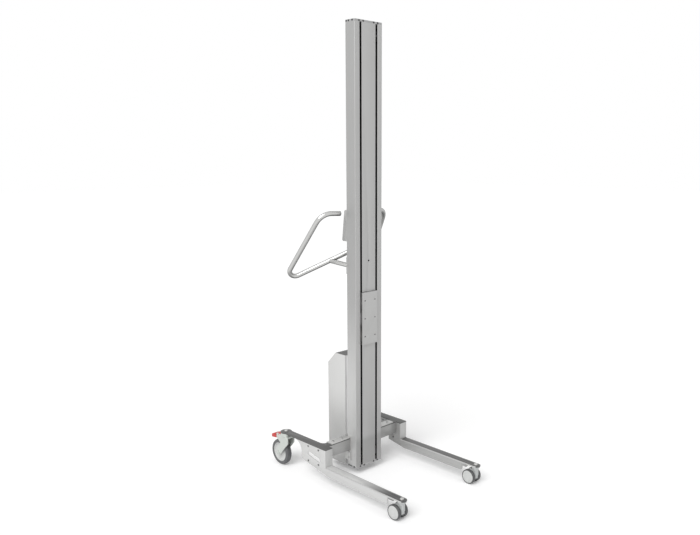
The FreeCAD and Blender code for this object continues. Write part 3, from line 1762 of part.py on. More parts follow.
def make_front_hood(name, side):
    """Swivel body of the twin-wheel caster: a curved hood between the wheels and a collar."""
    radius = float(size.hood_radius)
    trail = float(size.front_trail)
    axle = float(size.front_wheel_radius)
    half = float(size.hood_thickness) / 2
    top = float(toe_height) - 0.5

    def rim_spot(degrees):
        angle = math.radians(degrees)
        return Vector(0, trail - radius * math.cos(angle), axle + radius * math.sin(angle))

    spots = [
        rim_spot(-12),
        Vector(0, trail, axle + radius),
        rim_spot(145),
        Vector(0, trail + 9, axle - 6),
        Vector(0, trail - 9, axle - 10),
    ]
    edges = [
        Part.Arc(spots[0], rim_spot(50), spots[1]).toShape(),
        Part.Arc(spots[1], rim_spot(117), spots[2]).toShape(),
        Part.LineSegment(spots[2], spots[3]).toShape(),
        Part.LineSegment(spots[3], spots[4]).toShape(),
        Part.LineSegment(spots[4], spots[0]).toShape(),
    ]
    hood = Part.Face(Part.Wire(edges)).extrude(Vector(2 * half, 0, 0))
    hood.translate(Vector(-half, 0, 0))
    collar = cylinder(size.hood_collar_radius, top - axle - 10, Vector(0, 0, axle + 10), UP)
    neck = collar.common(box_between(Vector(-half, -40, 0), Vector(half, 40, axle + radius + 2)))
    ring = cylinder(size.hood_collar_radius + 6, 8, Vector(0, 0, top - 8), UP)
    ring = ring.makeFillet(2, [e for e in ring.Edges if e.CenterOfMass.z < top - 7])
    rise = axle + radius + 2
    upper = cylinder(size.hood_collar_radius, top - rise, Vector(0, 0, rise), UP)
    solid = hood.fuse(neck).fuse(upper).fuse(ring)
    bore = cylinder(size.front_bolt_radius, 2 * half + 2, Vector(-half - 1, trail, axle), RIGHT)
    stem = cylinder(size.stud_radius, 30, Vector(0, 0, float(toe_height) - 16.5), UP)
    solid = solid.cut(bore).cut(stem).removeSplitter()
    parts = [solid, front_axle()]
    return add_feature(f"front_{name}_hood", parts, x=size.leg_centre * side, y=-size.front_pivot)


def front_axle():
    """Pin through the hood that carries both front wheels of a caster."""
    half = float(size.front_half) - 6
    base = point(-half, size.front_trail, size.front_wheel_radius)
    return cylinder(size.front_bolt_radius - 0.1, 2 * half, base, RIGHT)


def make_front_wheel(name, side, place_name, place_side):
    """One wheel of the twin pair: domed outer disc, rounded tread, hollow behind."""
    x = size.leg_centre * side
    y = size.front_trail - size.front_pivot
    body = new_body(f"front_{name}_{place_name}_wheel", x=x, y=y, z=size.front_wheel_radius)
    section = new_sketch(body, "section", "XY_Plane")
    outer = size.front_half
    inner = size.front_half - size.front_wheel_width
    radius = size.front_wheel_radius
    bore = size.front_bolt_radius
    corners = [
        (inner, bore),
        (outer - 5, bore),
        (outer - 5, 0.01),
        (outer + 0.5, 0.01),
        (outer - 0.5, radius * 0.5),
        (outer - 2.5, radius - 8),
        (outer - 2.5, radius - 7),
        (outer - 1, radius - 6),
        (outer - 2, radius - 2),
        (outer - 5, radius),
        (inner + 4, radius),
        (inner + 1, radius - 2),
        (inner, radius - 5),
        (inner + 5, radius - 8),
        (inner + 7, bore + 9),
        (inner, bore + 5),
    ]
    corners = [(x_place * place_side, y_place) for x_place, y_place in corners]
    draw_polygon(section, corners)
    add_turn(body, section, "H_Axis")
    return body


# Assembly

make_mast_profile()
make_mast_cap("mast_top_cap", size.mast_high - size.cap_thickness, size.cap_thickness / 2)
make_mast_cap("mast_bottom_cap", size.mast_low, size.cap_thickness / 2)
make_drive_frame()
make_housing_cover()
make_charge_inlet()
make_gearbox()
make_lift_motor()
make_batteries()
make_controller()
make_drive_belts()
make_shaft_bearings()
make_shaft("drive_shaft", size.belt_centre + 7.5, size.shaft_radius, size.track_centre, size.drive_height)
make_shaft("idler_shaft", track_outer - 0.3, size.shaft_radius, size.track_centre, idler_height)
make_pulleys()
make_carriage_plate()
make_carriage_webs()
make_roller_axles()
make_rollers("upper_rollers", roller_high)
make_rollers("lower_rollers", roller_low)
make_belt_clamps()
for side_name, side_sign in SIDES.items():
    make_leg(side_name, side_sign)
    make_toe_strip(side_name, side_sign)
    make_top_plate(side_name, side_sign)
    make_cross_arm(side_name, side_sign)
    make_arm_bracket(side_name, side_sign)
    make_rear_fork(side_name, side_sign)
    make_rear_core(side_name, side_sign)
    make_rear_tyre(side_name, side_sign)
    make_brake_pedal(side_name, side_sign)
    make_front_hood(side_name, side_sign)
    make_front_wheel(side_name, side_sign, "outer", side_sign)
    make_front_wheel(side_name, side_sign, "inner", -side_sign)
make_leg_spacers()
make_handle()
make_grip_caps()
make_handle_mount()
make_control_base()
make_control_cover()
make_button("up")
make_button("down")
make_power_rocker()
make_gauge()
make_studs()
add_feature("small_screws", cap_screws() + cover_screws() + leg_screws())
add_feature("frame_bolts", arm_bolts() + mount_bolts())

doc.recompute()
for item in doc.Objects:
    if "Invalid" in item.State or "Error" in item.State:
        raise RuntimeError(f"{item.Label} did not build: {item.State}")
for node in NODES:
    if node.Shape.isNull() or not node.Shape.isValid():
        raise RuntimeError(f"{node.Label} has no valid shape")
    node.Shape.exportStep(f"parts/{node.Label}.step")
print(len(NODES), "sub-parts written")
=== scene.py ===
import json
import math

import bmesh
import bpy
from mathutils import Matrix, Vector

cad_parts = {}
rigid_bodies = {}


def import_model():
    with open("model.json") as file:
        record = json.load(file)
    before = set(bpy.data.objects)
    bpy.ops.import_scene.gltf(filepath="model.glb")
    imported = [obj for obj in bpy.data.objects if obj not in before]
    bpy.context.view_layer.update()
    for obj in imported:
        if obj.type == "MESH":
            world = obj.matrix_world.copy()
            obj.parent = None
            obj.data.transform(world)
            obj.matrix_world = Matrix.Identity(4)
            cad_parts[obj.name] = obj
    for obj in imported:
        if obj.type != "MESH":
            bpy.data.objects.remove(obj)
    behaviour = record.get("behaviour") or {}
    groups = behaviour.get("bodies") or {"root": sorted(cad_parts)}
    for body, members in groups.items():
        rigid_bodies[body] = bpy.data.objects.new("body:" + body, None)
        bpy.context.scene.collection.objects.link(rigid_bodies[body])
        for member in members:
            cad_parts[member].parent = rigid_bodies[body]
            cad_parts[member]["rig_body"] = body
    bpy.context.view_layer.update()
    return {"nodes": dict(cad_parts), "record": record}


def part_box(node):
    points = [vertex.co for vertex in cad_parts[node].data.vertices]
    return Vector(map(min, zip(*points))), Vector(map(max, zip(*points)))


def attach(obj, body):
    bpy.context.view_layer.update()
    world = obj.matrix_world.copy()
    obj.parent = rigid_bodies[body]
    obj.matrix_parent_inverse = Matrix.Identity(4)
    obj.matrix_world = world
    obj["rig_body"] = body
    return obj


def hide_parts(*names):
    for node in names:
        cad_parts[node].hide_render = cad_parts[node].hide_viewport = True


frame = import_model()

# Mini stacker, dressed over its CAD frame. Metres, +Z up, the tool plate faces -Y.

nodes = frame["nodes"]
scene = bpy.context.scene
SIDES = {"left": -1, "right": 1}
MIDDLE_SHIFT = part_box("mast_profile")[0][1]
UP = Vector((0, 0, 1))


def vec(x, y, z):
    """A place given in the drawing's millimetres, from the mast's front face."""
    return Vector((x / 1000, y / 1000 + MIDDLE_SHIFT, z / 1000))


# Shared surface effects

UNSTRETCHED = (1, 1, 1)


def new_group(name, inputs, outputs):
    """An empty effect group with named sockets, and its input and output nodes."""
    group = bpy.data.node_groups.new(name, "ShaderNodeTree")
    for label, kind, value in inputs:
        socket = group.interface.new_socket(label, in_out="INPUT", socket_type=kind)
        socket.default_value = value
    for label, kind in outputs:
        group.interface.new_socket(label, in_out="OUTPUT", socket_type=kind)
    start = group.nodes.new("NodeGroupInput")
    end = group.nodes.new("NodeGroupOutput")
    return group, start, end


def math_node(tree, operation, first, second=None, clamp=False):
    """A Math node; numbers and sockets may both be given."""
    made = tree.nodes.new("ShaderNodeMath")
    made.operation = operation
    made.use_clamp = clamp
    for index, value in enumerate((first, second)):
        if value is None:
            continue
        if isinstance(value, (int, float)):
            made.inputs[index].default_value = value
        else:
            tree.links.new(value, made.inputs[index])
    return made.outputs[0]


def noise_node(tree, vector, scale, detail, roughness=0.5):
    """A Noise texture; its scale may be a socket."""
    made = tree.nodes.new("ShaderNodeTexNoise")
    made.inputs["Detail"].default_value = detail
    made.inputs["Roughness"].default_value = roughness
    tree.links.new(vector, made.inputs["Vector"])
    if isinstance(scale, (int, float)):
        made.inputs["Scale"].default_value = scale
    else:
        tree.links.new(scale, made.inputs["Scale"])
    return made.outputs["Fac"]


def mapped_place(tree, scale):
    """Object coordinates, stretched by a vector."""
    place = tree.nodes.new("ShaderNodeTexCoord")
    mapping = tree.nodes.new("ShaderNodeMapping")
    tree.links.new(place.outputs["Object"], mapping.inputs["Vector"])
    if hasattr(scale, "is_output"):
        tree.links.new(scale, mapping.inputs["Scale"])
    else:
        mapping.inputs["Scale"].default_value = scale
    return mapping.outputs["Vector"]


def make_drawn_grain():
    """Fine lines along one direction, as on brushed steel or a drawn extrusion."""
    inputs = [
        ("Stretch", "NodeSocketVector", (30, 900, 900)),
        ("Blotch Scale", "NodeSocketFloat", 7.0),
    ]
    outputs = [("Lines", "NodeSocketFloat"), ("Blotches", "NodeSocketFloat")]
    group, start, end = new_group("Drawn grain", inputs, outputs)
    stretched = mapped_place(group, start.outputs["Stretch"])
    fine = noise_node(group, stretched, 1.0, 4.0, 0.6)
    coarse = noise_node(group, stretched, 0.22, 2.0, 0.5)
    fine_part = math_node(group, "MULTIPLY", fine, 0.65)
    coarse_part = math_node(group, "MULTIPLY", coarse, 0.35)
    group.links.new(math_node(group, "ADD", fine_part, coarse_part), end.inputs["Lines"])
    flat = mapped_place(group, UNSTRETCHED)
    group.links.new(noise_node(group, flat, start.outputs["Blotch Scale"], 4.0), end.inputs["Blotches"])
    return group


def make_edge_wear():
    """A mask that rises on outer edges, broken up by noise."""
    inputs = [("Reach", "NodeSocketFloat", 0.0012), ("Break Up", "NodeSocketFloat", 90.0)]
    group, start, end = new_group("Edge wear", inputs, [("Mask", "NodeSocketFloat")])
    rounded = group.nodes.new("ShaderNodeBevel")
    rounded.samples = 4
    group.links.new(start.outputs["Reach"], rounded.inputs["Radius"])
    face = group.nodes.new("ShaderNodeNewGeometry")
    turn = group.nodes.new("ShaderNodeVectorMath")
    turn.operation = "DOT_PRODUCT"
    group.links.new(rounded.outputs["Normal"], turn.inputs[0])
    group.links.new(face.outputs["Normal"], turn.inputs[1])
    bend = math_node(group, "SUBTRACT", 1.0, turn.outputs["Value"])
    spread = math_node(group, "MULTIPLY", bend, 6.0, clamp=True)
    flat = mapped_place(group, UNSTRETCHED)
    patches = noise_node(group, flat, start.outputs["Break Up"], 4.0, 0.6)
    above = math_node(group, "SUBTRACT", patches, 0.25)
    strong = math_node(group, "MULTIPLY", above, 2.2, clamp=True)
    group.links.new(math_node(group, "MULTIPLY", spread, strong), end.inputs["Mask"])
    return group


def make_dust():
    """Handling marks and dust: slow patches, and a little more on faces that look up."""
    inputs = [("Patch Scale", "NodeSocketFloat", 9.0), ("Top Share", "NodeSocketFloat", 0.4)]
    group, start, end = new_group("Dust and handling", inputs, [("Mask", "NodeSocketFloat")])
    flat = mapped_place(group, UNSTRETCHED)
    patches = noise_node(group, flat, start.outputs["Patch Scale"], 6.0, 0.62)
    above = math_node(group, "SUBTRACT", patches, 0.45)
    sharp = math_node(group, "MULTIPLY", above, 3.0, clamp=True)
    face = group.nodes.new("ShaderNodeNewGeometry")
    split = group.nodes.new("ShaderNodeSeparateXYZ")
    group.links.new(face.outputs["Normal"], split.inputs[0])
    upward = math_node(group, "MAXIMUM", split.outputs["Z"], 0.0)
    top = math_node(group, "MULTIPLY", upward, start.outputs["Top Share"])
    low = math_node(group, "MULTIPLY", sharp, 0.6)
    both = math_node(group, "ADD", low, math_node(group, "MULTIPLY", top, patches), clamp=True)
    group.links.new(both, end.inputs["Mask"])
    return group


def make_mould_grain():
    """The pebbled skin of moulded plastic, powder coat or rubber."""
    inputs = [("Grain Scale", "NodeSocketFloat", 900.0), ("Swirl Scale", "NodeSocketFloat", 40.0)]
    outputs = [("Height", "NodeSocketFloat"), ("Swirls", "NodeSocketFloat")]
    group, start, end = new_group("Moulded grain", inputs, outputs)
    flat = mapped_place(group, UNSTRETCHED)
    pebbles = group.nodes.new("ShaderNodeTexVoronoi")
    group.links.new(flat, pebbles.inputs["Vector"])
    group.links.new(start.outputs["Grain Scale"], pebbles.inputs["Scale"])
    group.links.new(pebbles.outputs["Distance"], end.inputs["Height"])
    group.links.new(noise_node(group, flat, start.outputs["Swirl Scale"], 4.0), end.inputs["Swirls"])
    return group


DRAWN_GRAIN = make_drawn_grain()
EDGE_WEAR = make_edge_wear()
DUST = make_dust()
MOULD_GRAIN = make_mould_grain()


# Materials


def new_material(name):
    """A material with its shader, ready for detail."""
    material = bpy.data.materials.new(name)
    material.use_nodes = True
    return material, material.node_tree, material.node_tree.nodes["Principled BSDF"]


def add_group(tree, group, **values):
    """Place a shared effect in a material with its own values."""
    made = tree.nodes.new("ShaderNodeGroup")
    made.node_tree = group
    for name, value in values.items():
        made.inputs[name.replace("_", " ").title()].default_value = value
    return made


def mix_colour(tree, factor, first, second):
    """A colour mix; colours may be given as numbers or sockets."""
    made = tree.nodes.new("ShaderNodeMix")
    made.data_type = "RGBA"
    for index, value in ((0, factor), (6, first), (7, second)):
        if isinstance(value, (int, float)):
            made.inputs[index].default_value = value
        elif isinstance(value, tuple):
            made.inputs[index].default_value = (*value, 1)
        else:
            tree.links.new(value, made.inputs[index])
    return made.outputs[2]


def spread_value(tree, value, low, high):
    """Map a 0 to 1 value to the range low to high."""
    made = tree.nodes.new("ShaderNodeMapRange")
    tree.links.new(value, made.inputs["Value"])
    made.inputs["To Min"].default_value = low
    made.inputs["To Max"].default_value = high
    return made.outputs["Result"]


def lay_over(tree, mask, share, under, over):
    """Lay one colour over another by a share of a mask."""
    return mix_colour(tree, math_node(tree, "MULTIPLY", mask, share), under, over)


def split_coordinate(tree, kind):
    """The X, Y and Z of the object's own place or normal."""
    place = tree.nodes.new("ShaderNodeTexCoord")
    split = tree.nodes.new("ShaderNodeSeparateXYZ")
    tree.links.new(place.outputs[kind], split.inputs[0])
    return split.outputs


def dim_colour(tree, colour, factor):
    """A colour times a factor."""
    dimmed = tree.nodes.new("ShaderNodeVectorMath")
    dimmed.operation = "SCALE"
    tree.links.new(colour, dimmed.inputs[0])
    tree.links.new(factor, dimmed.inputs["Scale"])
    return dimmed.outputs["Vector"]


def shade_along(tree, colour, axis, low, high, share):
    """Paint darkening into a colour along an axis: to a share of it at the low place, not at all at the
    high one.
    """
    ramp = tree.nodes.new("ShaderNodeMapRange")
    ramp.interpolation_type = "SMOOTHSTEP"
    ramp.inputs["From Min"].default_value = low
    ramp.inputs["From Max"].default_value = high
    ramp.inputs["To Min"].default_value = share
    tree.links.new(split_coordinate(tree, "Object")[axis], ramp.inputs["Value"])
    return dim_colour(tree, colour, ramp.outputs["Result"])


def add_bump(tree, shader, height, strength, distance):
    """Bump from a height."""
    bump = tree.nodes.new("ShaderNodeBump")
    bump.inputs["Strength"].default_value = strength
    bump.inputs["Distance"].default_value = distance
    tree.links.new(height, bump.inputs["Height"])
    tree.links.new(bump.outputs["Normal"], shader.inputs["Normal"])


def painted_edge_highlight(tree, colour, centre, half, light):
    """Painted highlight: lighten both long edges of a strip that lies along Y on either leg."""
    across = math_node(tree, "ABSOLUTE", split_coordinate(tree, "Object")["X"])
    off = math_node(tree, "ABSOLUTE", math_node(tree, "SUBTRACT", across, centre))
    return mix_colour(tree, math_node(tree, "GREATER_THAN", off, half), colour, light)


# Range of the normal's Z over which the painted dark reflection on undersides grows
LOOKS_DOWN = (-0.15, -0.75)
PAINTED_UNDERSIDE_DARKNESS = 0.3


def painted_dark_rim_and_underside(tree, colour, share):
    """Painted dark reflection: darken a colour where the surface turns away from the eye and where it looks
    down.
    """
    turned = tree.nodes.new("ShaderNodeLayerWeight")
    turned.inputs["Blend"].default_value = 0.5
    away = math_node(tree, "POWER", turned.outputs["Facing"], 2.0)
    below = tree.nodes.new("ShaderNodeMapRange")
    below.inputs["From Min"].default_value = LOOKS_DOWN[0]
    below.inputs["From Max"].default_value = LOOKS_DOWN[1]
    below.inputs["To Min"].default_value = 1.0
    below.inputs["To Max"].default_value = PAINTED_UNDERSIDE_DARKNESS
    tree.links.new(split_coordinate(tree, "Normal")["Z"], below.inputs["Value"])
    rim = spread_value(tree, away, 1.0, share)
    return dim_colour(tree, colour, math_node(tree, "MULTIPLY", rim, below.outputs["Result"]))


BUMP_DEPTH = 0.0002
PALE_WEAR = (0.75, 0.76, 0.78)
STEEL_WEAR = (0.80, 0.80, 0.81)


def drawn_metal(
    name, dark, light, stretch, rough, metal, wear=PALE_WEAR, bump=0.12, painted_darkening=None, rim=None, sides=None
):
    """Metal with drawn or brushed lines, soft blotches, bright edges and handling marks, and optionally
    painted darkening along an axis, painted highlights on a strip's edges and a painted dark rim and
    underside.
    """
    material, tree, shader = new_material(name)
    grain = add_group(tree, DRAWN_GRAIN, stretch=stretch, blotch_scale=6.0)
    edge = add_group(tree, EDGE_WEAR, reach=0.0009, break_up=70.0)
    dust = add_group(tree, DUST, patch_scale=8.0, top_share=0.25)
    lined = mix_colour(tree, grain.outputs["Lines"], dark, light)
    blotched = mix_colour(tree, spread_value(tree, grain.outputs["Blotches"], 0.0, 0.22), lined, dark)
    worn = lay_over(tree, edge.outputs["Mask"], 0.55, blotched, wear)
    surface_colour = lay_over(tree, dust.outputs["Mask"], 0.07, worn, (0.42, 0.41, 0.39))
    if painted_darkening:
        surface_colour = shade_along(tree, surface_colour, *painted_darkening)
    if sides:
        surface_colour = painted_edge_highlight(tree, surface_colour, *sides)
    if rim:
        surface_colour = painted_dark_rim_and_underside(tree, surface_colour, rim)
    tree.links.new(surface_colour, shader.inputs["Base Color"])
    rough_lines = spread_value(tree, grain.outputs["Lines"], *rough)
    marks = math_node(tree, "MULTIPLY", dust.outputs["Mask"], 0.12)
    tree.links.new(math_node(tree, "ADD", rough_lines, marks), shader.inputs["Roughness"])
    shader.inputs["Metallic"].default_value = metal
    add_bump(tree, shader, grain.outputs["Lines"], bump, BUMP_DEPTH)
    return material


def coated_metal(name, colour, bare, rough, grain_scale, metal=0.0, bump=0.15):
    """Powder coat: fine orange peel, slightly uneven colour, worn edges and dust."""
    material, tree, shader = new_material(name)
    skin = add_group(tree, MOULD_GRAIN, grain_scale=grain_scale, swirl_scale=14.0)
    edge = add_group(tree, EDGE_WEAR, reach=0.0010, break_up=120.0)
    dust = add_group(tree, DUST, patch_scale=10.0, top_share=0.5)
    deep = tuple(channel * 0.86 for channel in colour)
    uneven = mix_colour(tree, skin.outputs["Swirls"], deep, colour)
    worn = lay_over(tree, edge.outputs["Mask"], 0.4, uneven, bare)
    surface_colour = lay_over(tree, dust.outputs["Mask"], 0.12, worn, (0.44, 0.43, 0.41))
    tree.links.new(surface_colour, shader.inputs["Base Color"])
    patch = spread_value(tree, dust.outputs["Mask"], rough - 0.05, rough + 0.18)
    tree.links.new(patch, shader.inputs["Roughness"])
    shader.inputs["Metallic"].default_value = metal
    add_bump(tree, shader, skin.outputs["Height"], bump, BUMP_DEPTH)
    return material


def moulded(name, colour, rough, grain_scale, bump, sheen=0.0, scuff=(0.5, 0.5, 0.49)):
    """Moulded plastic or rubber: pebbled skin, flow swirls, scuffed edges."""
    material, tree, shader = new_material(name)
    skin = add_group(tree, MOULD_GRAIN, grain_scale=grain_scale, swirl_scale=55.0)
    edge = add_group(tree, EDGE_WEAR, reach=0.0008, break_up=160.0)
    dust = add_group(tree, DUST, patch_scale=22.0, top_share=0.5)
    deep = tuple(channel * 0.82 for channel in colour)
    swirled = mix_colour(tree, skin.outputs["Swirls"], deep, colour)
    scuffed = lay_over(tree, edge.outputs["Mask"], 0.22, swirled, scuff)
    surface_colour = lay_over(tree, dust.outputs["Mask"], 0.16, scuffed, (0.40, 0.39, 0.37))
    tree.links.new(surface_colour, shader.inputs["Base Color"])
    patch = spread_value(tree, dust.outputs["Mask"], rough - 0.06, rough + 0.16)
    tree.links.new(patch, shader.inputs["Roughness"])
    shader.inputs["Sheen Weight"].default_value = sheen
    add_bump(tree, shader, skin.outputs["Height"], bump, BUMP_DEPTH)
    return material


ALONG_Z = (650, 650, 9)
ALONG_Y = (700, 12, 700)
ALONG_X = (12, 700, 700)
ROUND_X = (300, 60, 60)

# A painted darkening is an axis, its low and high place in metres, and the share of the colour at the low
# one

# Mast front: a painted darker reflection at its foot, below 0.21 m, down to 79 % at 0.17 m
anodised_mast = drawn_metal(
    "Anodised mast", (0.43, 0.43, 0.425), (0.52, 0.52, 0.515), ALONG_Z, (0.42, 0.54), 0.3,
    bump=0.06, painted_darkening=("Z", 0.17, 0.21, 0.79),
)
# Mast side faces: a lighter copy of the mast colour as painted light from the left, with painted shade
# darkening it from 0.4 m up to 68 % at 1 m
mast_side_painted_light = drawn_metal(
    "Anodised mast side painted light", (0.52, 0.52, 0.515), (0.60, 0.60, 0.595), ALONG_Z, (0.42, 0.54), 0.3,
    bump=0.06, painted_darkening=("Z", 1.0, 0.4, 0.68),
)
cap_metal = drawn_metal("Milled cap", (0.36, 0.36, 0.36), (0.46, 0.46, 0.46), ALONG_X, (0.36, 0.5), 0.4)
# Housing cover: painted shade darkens it below 0.48 m, to 86 % at 0.24 m
cover_steel = drawn_metal(
    "Brushed cover", (0.56, 0.56, 0.555), (0.66, 0.66, 0.65), ALONG_Z, (0.38, 0.5), 0.35,
    painted_darkening=("Z", 0.24, 0.48, 0.86),
)
leg_steel = drawn_metal(
    "Brushed leg plate", (0.54, 0.54, 0.535), (0.64, 0.64, 0.635), ALONG_Y, (0.30, 0.44), 0.4, STEEL_WEAR
)
# Step faces: a darker copy of the leg steel, painted shade on faces turned away from the light
step_painted_shade = drawn_metal(
    "Brushed step face painted shade", (0.46, 0.46, 0.455), (0.56, 0.56, 0.555), ALONG_Z, (0.32, 0.46), 0.4
)
# Inner leg plates: a darker copy of the leg steel as painted shade
inner_plate_painted_shade = drawn_metal(
    "Inner plate painted shade", (0.36, 0.36, 0.355), (0.46, 0.46, 0.455), ALONG_Y, (0.34, 0.48), 0.4
)
# Faces that look up: a near-black copy of brushed steel as painted dark reflection
top_painted_dark_reflection = drawn_metal(
    "Brushed top plate painted dark reflection", (0.09, 0.09, 0.089), (0.145, 0.145, 0.143), ALONG_Y, (0.36, 0.5), 0.5,
    (0.55, 0.55, 0.55),
)

# Middle of a toe strip, half the width between its edges, and the colour of the painted highlight on them

STRIP_PAINTED_EDGES = (0.274, 0.0195, (0.55, 0.55, 0.545))

# Left toe strip: painted reflection, light near the step and darkening forward to 14 % between y -0.16 m
# and -0.42 m, with painted highlights on its edges
left_toe_painted_reflection = drawn_metal(
    "Brushed left toe painted reflection", (0.70, 0.70, 0.695), (0.80, 0.80, 0.795), ALONG_Y, (0.36, 0.5), 0.5,
    painted_darkening=("Y", -0.42, -0.16, 0.14), sides=STRIP_PAINTED_EDGES,
)
# Right toe strip: near-black painted dark reflection, with painted highlights on its edges
right_toe_painted_dark_reflection = drawn_metal(
    "Brushed right toe painted dark reflection", (0.09, 0.09, 0.089), (0.145, 0.145, 0.143), ALONG_Y, (0.36, 0.5), 0.5,
    sides=STRIP_PAINTED_EDGES,
)
arm_steel = drawn_metal(
    "Brushed cross arm", (0.34, 0.34, 0.335), (0.44, 0.44, 0.435), ALONG_X, (0.32, 0.46), 0.4
)
bracket_steel = drawn_metal(
    "Bright bracket", (0.50, 0.50, 0.49), (0.60, 0.60, 0.59), ALONG_X, (0.30, 0.42), 0.5
)
# Handle tube: painted dark reflection as a darker rim at grazing angles and a darker underside
handle_steel = drawn_metal(
    "Satin handle tube", (0.55, 0.55, 0.54), (0.64, 0.64, 0.63), (90, 90, 90), (0.12, 0.22), 0.85,
    rim=0.05,
)
plate_metal = drawn_metal(
    "Anodised tool plate", (0.45, 0.45, 0.445), (0.53, 0.53, 0.525), ALONG_X, (0.34, 0.46), 0.35,
    STEEL_WEAR,
)
turned_steel = drawn_metal(
    "Turned steel", (0.42, 0.42, 0.42), (0.56, 0.56, 0.555), ROUND_X, (0.22, 0.38), 1.0
)
dark_screws = drawn_metal(
    "Burnished screw", (0.10, 0.10, 0.10), (0.17, 0.17, 0.17), ROUND_X, (0.30, 0.42), 0.8
)
zinc_fork = drawn_metal(
    "Zinc coated fork", (0.50, 0.53, 0.50), (0.66, 0.69, 0.66), (60, 60, 60), (0.32, 0.50), 0.5
)
pulley_metal = drawn_metal(
    "Machined pulley", (0.50, 0.50, 0.51), (0.66, 0.66, 0.67), (240, 40, 40), (0.22, 0.36), 1.0
)
# Near-black painted shade for the walls inside the mast's tracks and the tool plate's holes
painted_shade_black = coated_metal("Black painted shade in tracks and holes", (0.004, 0.004, 0.004), (0.02, 0.02, 0.02), 0.7, 700.0)
dark_frame = coated_metal("Grey drive frame", (0.62, 0.62, 0.62), (0.70, 0.70, 0.70), 0.45, 900.0, 0.2)
motor_coat = coated_metal("Black motor coat", (0.03, 0.03, 0.033), (0.45, 0.45, 0.45), 0.42, 800.0)
cast_grey = coated_metal(
    "Cast gearbox skin", (0.16, 0.165, 0.175), (0.42, 0.42, 0.42), 0.6, 260.0, 0.3, 0.5
)
box_plastic = moulded("Control box plastic", (0.46, 0.46, 0.455), 0.46, 1500.0, 0.25)
tray_plastic = moulded("Control tray plastic", (0.42, 0.42, 0.42), 0.46, 1500.0, 0.25)
black_plastic = moulded("Black plastic", (0.02, 0.02, 0.021), 0.40, 1800.0, 0.18, scuff=(0.2, 0.2, 0.2))
battery_case = moulded("Battery case", (0.045, 0.046, 0.05), 0.5, 900.0, 0.3, scuff=(0.25, 0.25, 0.25))
green_plastic = moulded("Green button", (0.03, 0.30, 0.09), 0.28, 2400.0, 0.05)
pale_plastic = moulded("Pale button", (0.60, 0.60, 0.58), 0.28, 2400.0, 0.05)
disc_plastic = moulded("Pale wheel disc", (0.60, 0.61, 0.60), 0.42, 1200.0, 0.12)
hood_plastic = moulded("Caster hood", (0.56, 0.58, 0.575), 0.40, 1300.0, 0.12)
rim_rubber = moulded("Grey wheel rubber", (0.075, 0.077, 0.08), 0.62, 700.0, 0.3, 0.1, (0.30, 0.30, 0.29))
tyre_rubber = moulded(
    "Dark tyre rubber", (0.105, 0.108, 0.113), 0.66, 600.0, 0.35, 0.1, (0.28, 0.28, 0.27)
)
pedal_plastic = moulded("Red pedal", (0.55, 0.035, 0.03), 0.34, 1600.0, 0.12, scuff=(0.7, 0.3, 0.28))
plug_rubber = moulded("Black cap plug", (0.006, 0.006, 0.006), 0.5, 1800.0, 0.1, scuff=(0.03, 0.03, 0.03))
belt_rubber = moulded("Toothed belt", (0.02, 0.02, 0.02), 0.55, 1000.0, 0.3, scuff=(0.1, 0.1, 0.1))
roller_plastic = moulded("Roller plastic", (0.68, 0.68, 0.64), 0.38, 1400.0, 0.1)


def make_gauge_window():
    """Dark glossy window of the battery gauge."""
    material, tree, shader = new_material("Gauge window")
    smear = add_group(tree, DUST, patch_scale=60.0, top_share=0.1)
    colour = mix_colour(tree, smear.outputs["Mask"], (0.012, 0.016, 0.014), (0.05, 0.055, 0.052))
    tree.links.new(colour, shader.inputs["Base Color"])
    tree.links.new(spread_value(tree, smear.outputs["Mask"], 0.06, 0.22), shader.inputs["Roughness"])
    shader.inputs["Coat Weight"].default_value = 0.6
    return material


def make_lamp_bar():
    """Lit bar of the battery gauge, its glow varied by noise."""
    material, tree, shader = new_material("Gauge bar")
    flat = mapped_place(tree, UNSTRETCHED)
    glow = noise_node(tree, flat, 300.0, 2.0)
    colour = mix_colour(tree, glow, (0.05, 0.45, 0.10), (0.10, 0.75, 0.18))
    tree.links.new(colour, shader.inputs["Base Color"])
    tree.links.new(colour, shader.inputs["Emission Color"])
    shader.inputs["Emission Strength"].default_value = 0.5
    shader.inputs["Roughness"].default_value = 0.3
    return material


gauge_window = make_gauge_window()
gauge_bar = make_lamp_bar()


# Making meshes

MERGE_DISTANCE = 2e-6
FLAT_ANGLE = 0.6
BEVEL_ANGLE = 30
BEVEL_STEPS = 2
LATHE_STEPS = 96


def finish_mesh(piece, crease):
    """Smooth shading with the sharp edges kept."""
    for face in piece.data.polygons:
        face.use_smooth = True
    piece.data.set_sharp_from_angle(angle=math.radians(crease))


def to_plain_mesh(piece):
    """Turn the evaluated piece, modifiers included, into a plain mesh."""
    bpy.context.view_layer.update()
    graph = bpy.context.evaluated_depsgraph_get()
    made = bpy.data.meshes.new_from_object(piece.evaluated_get(graph))
    piece.modifiers.clear()
    piece.data = made


def new_piece(name, shape, material):
    """A piece from a bmesh, in place and with its material."""
    mesh = bpy.data.meshes.new(name)
    shape.to_mesh(mesh)
    shape.free()
    mesh.materials.append(material)
    piece = bpy.data.objects.new(name, mesh)
    scene.collection.objects.link(piece)
    return piece


def settle(piece, body, slot, *replaced):
    """Give a finished piece its body and hide the nodes that it stands for. The slot is not used."""
    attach(piece, body)
    if replaced:
        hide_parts(*replaced)


SLOT_OF = {item["node"]: item["material_slot"] for item in frame["record"]["subparts"]}


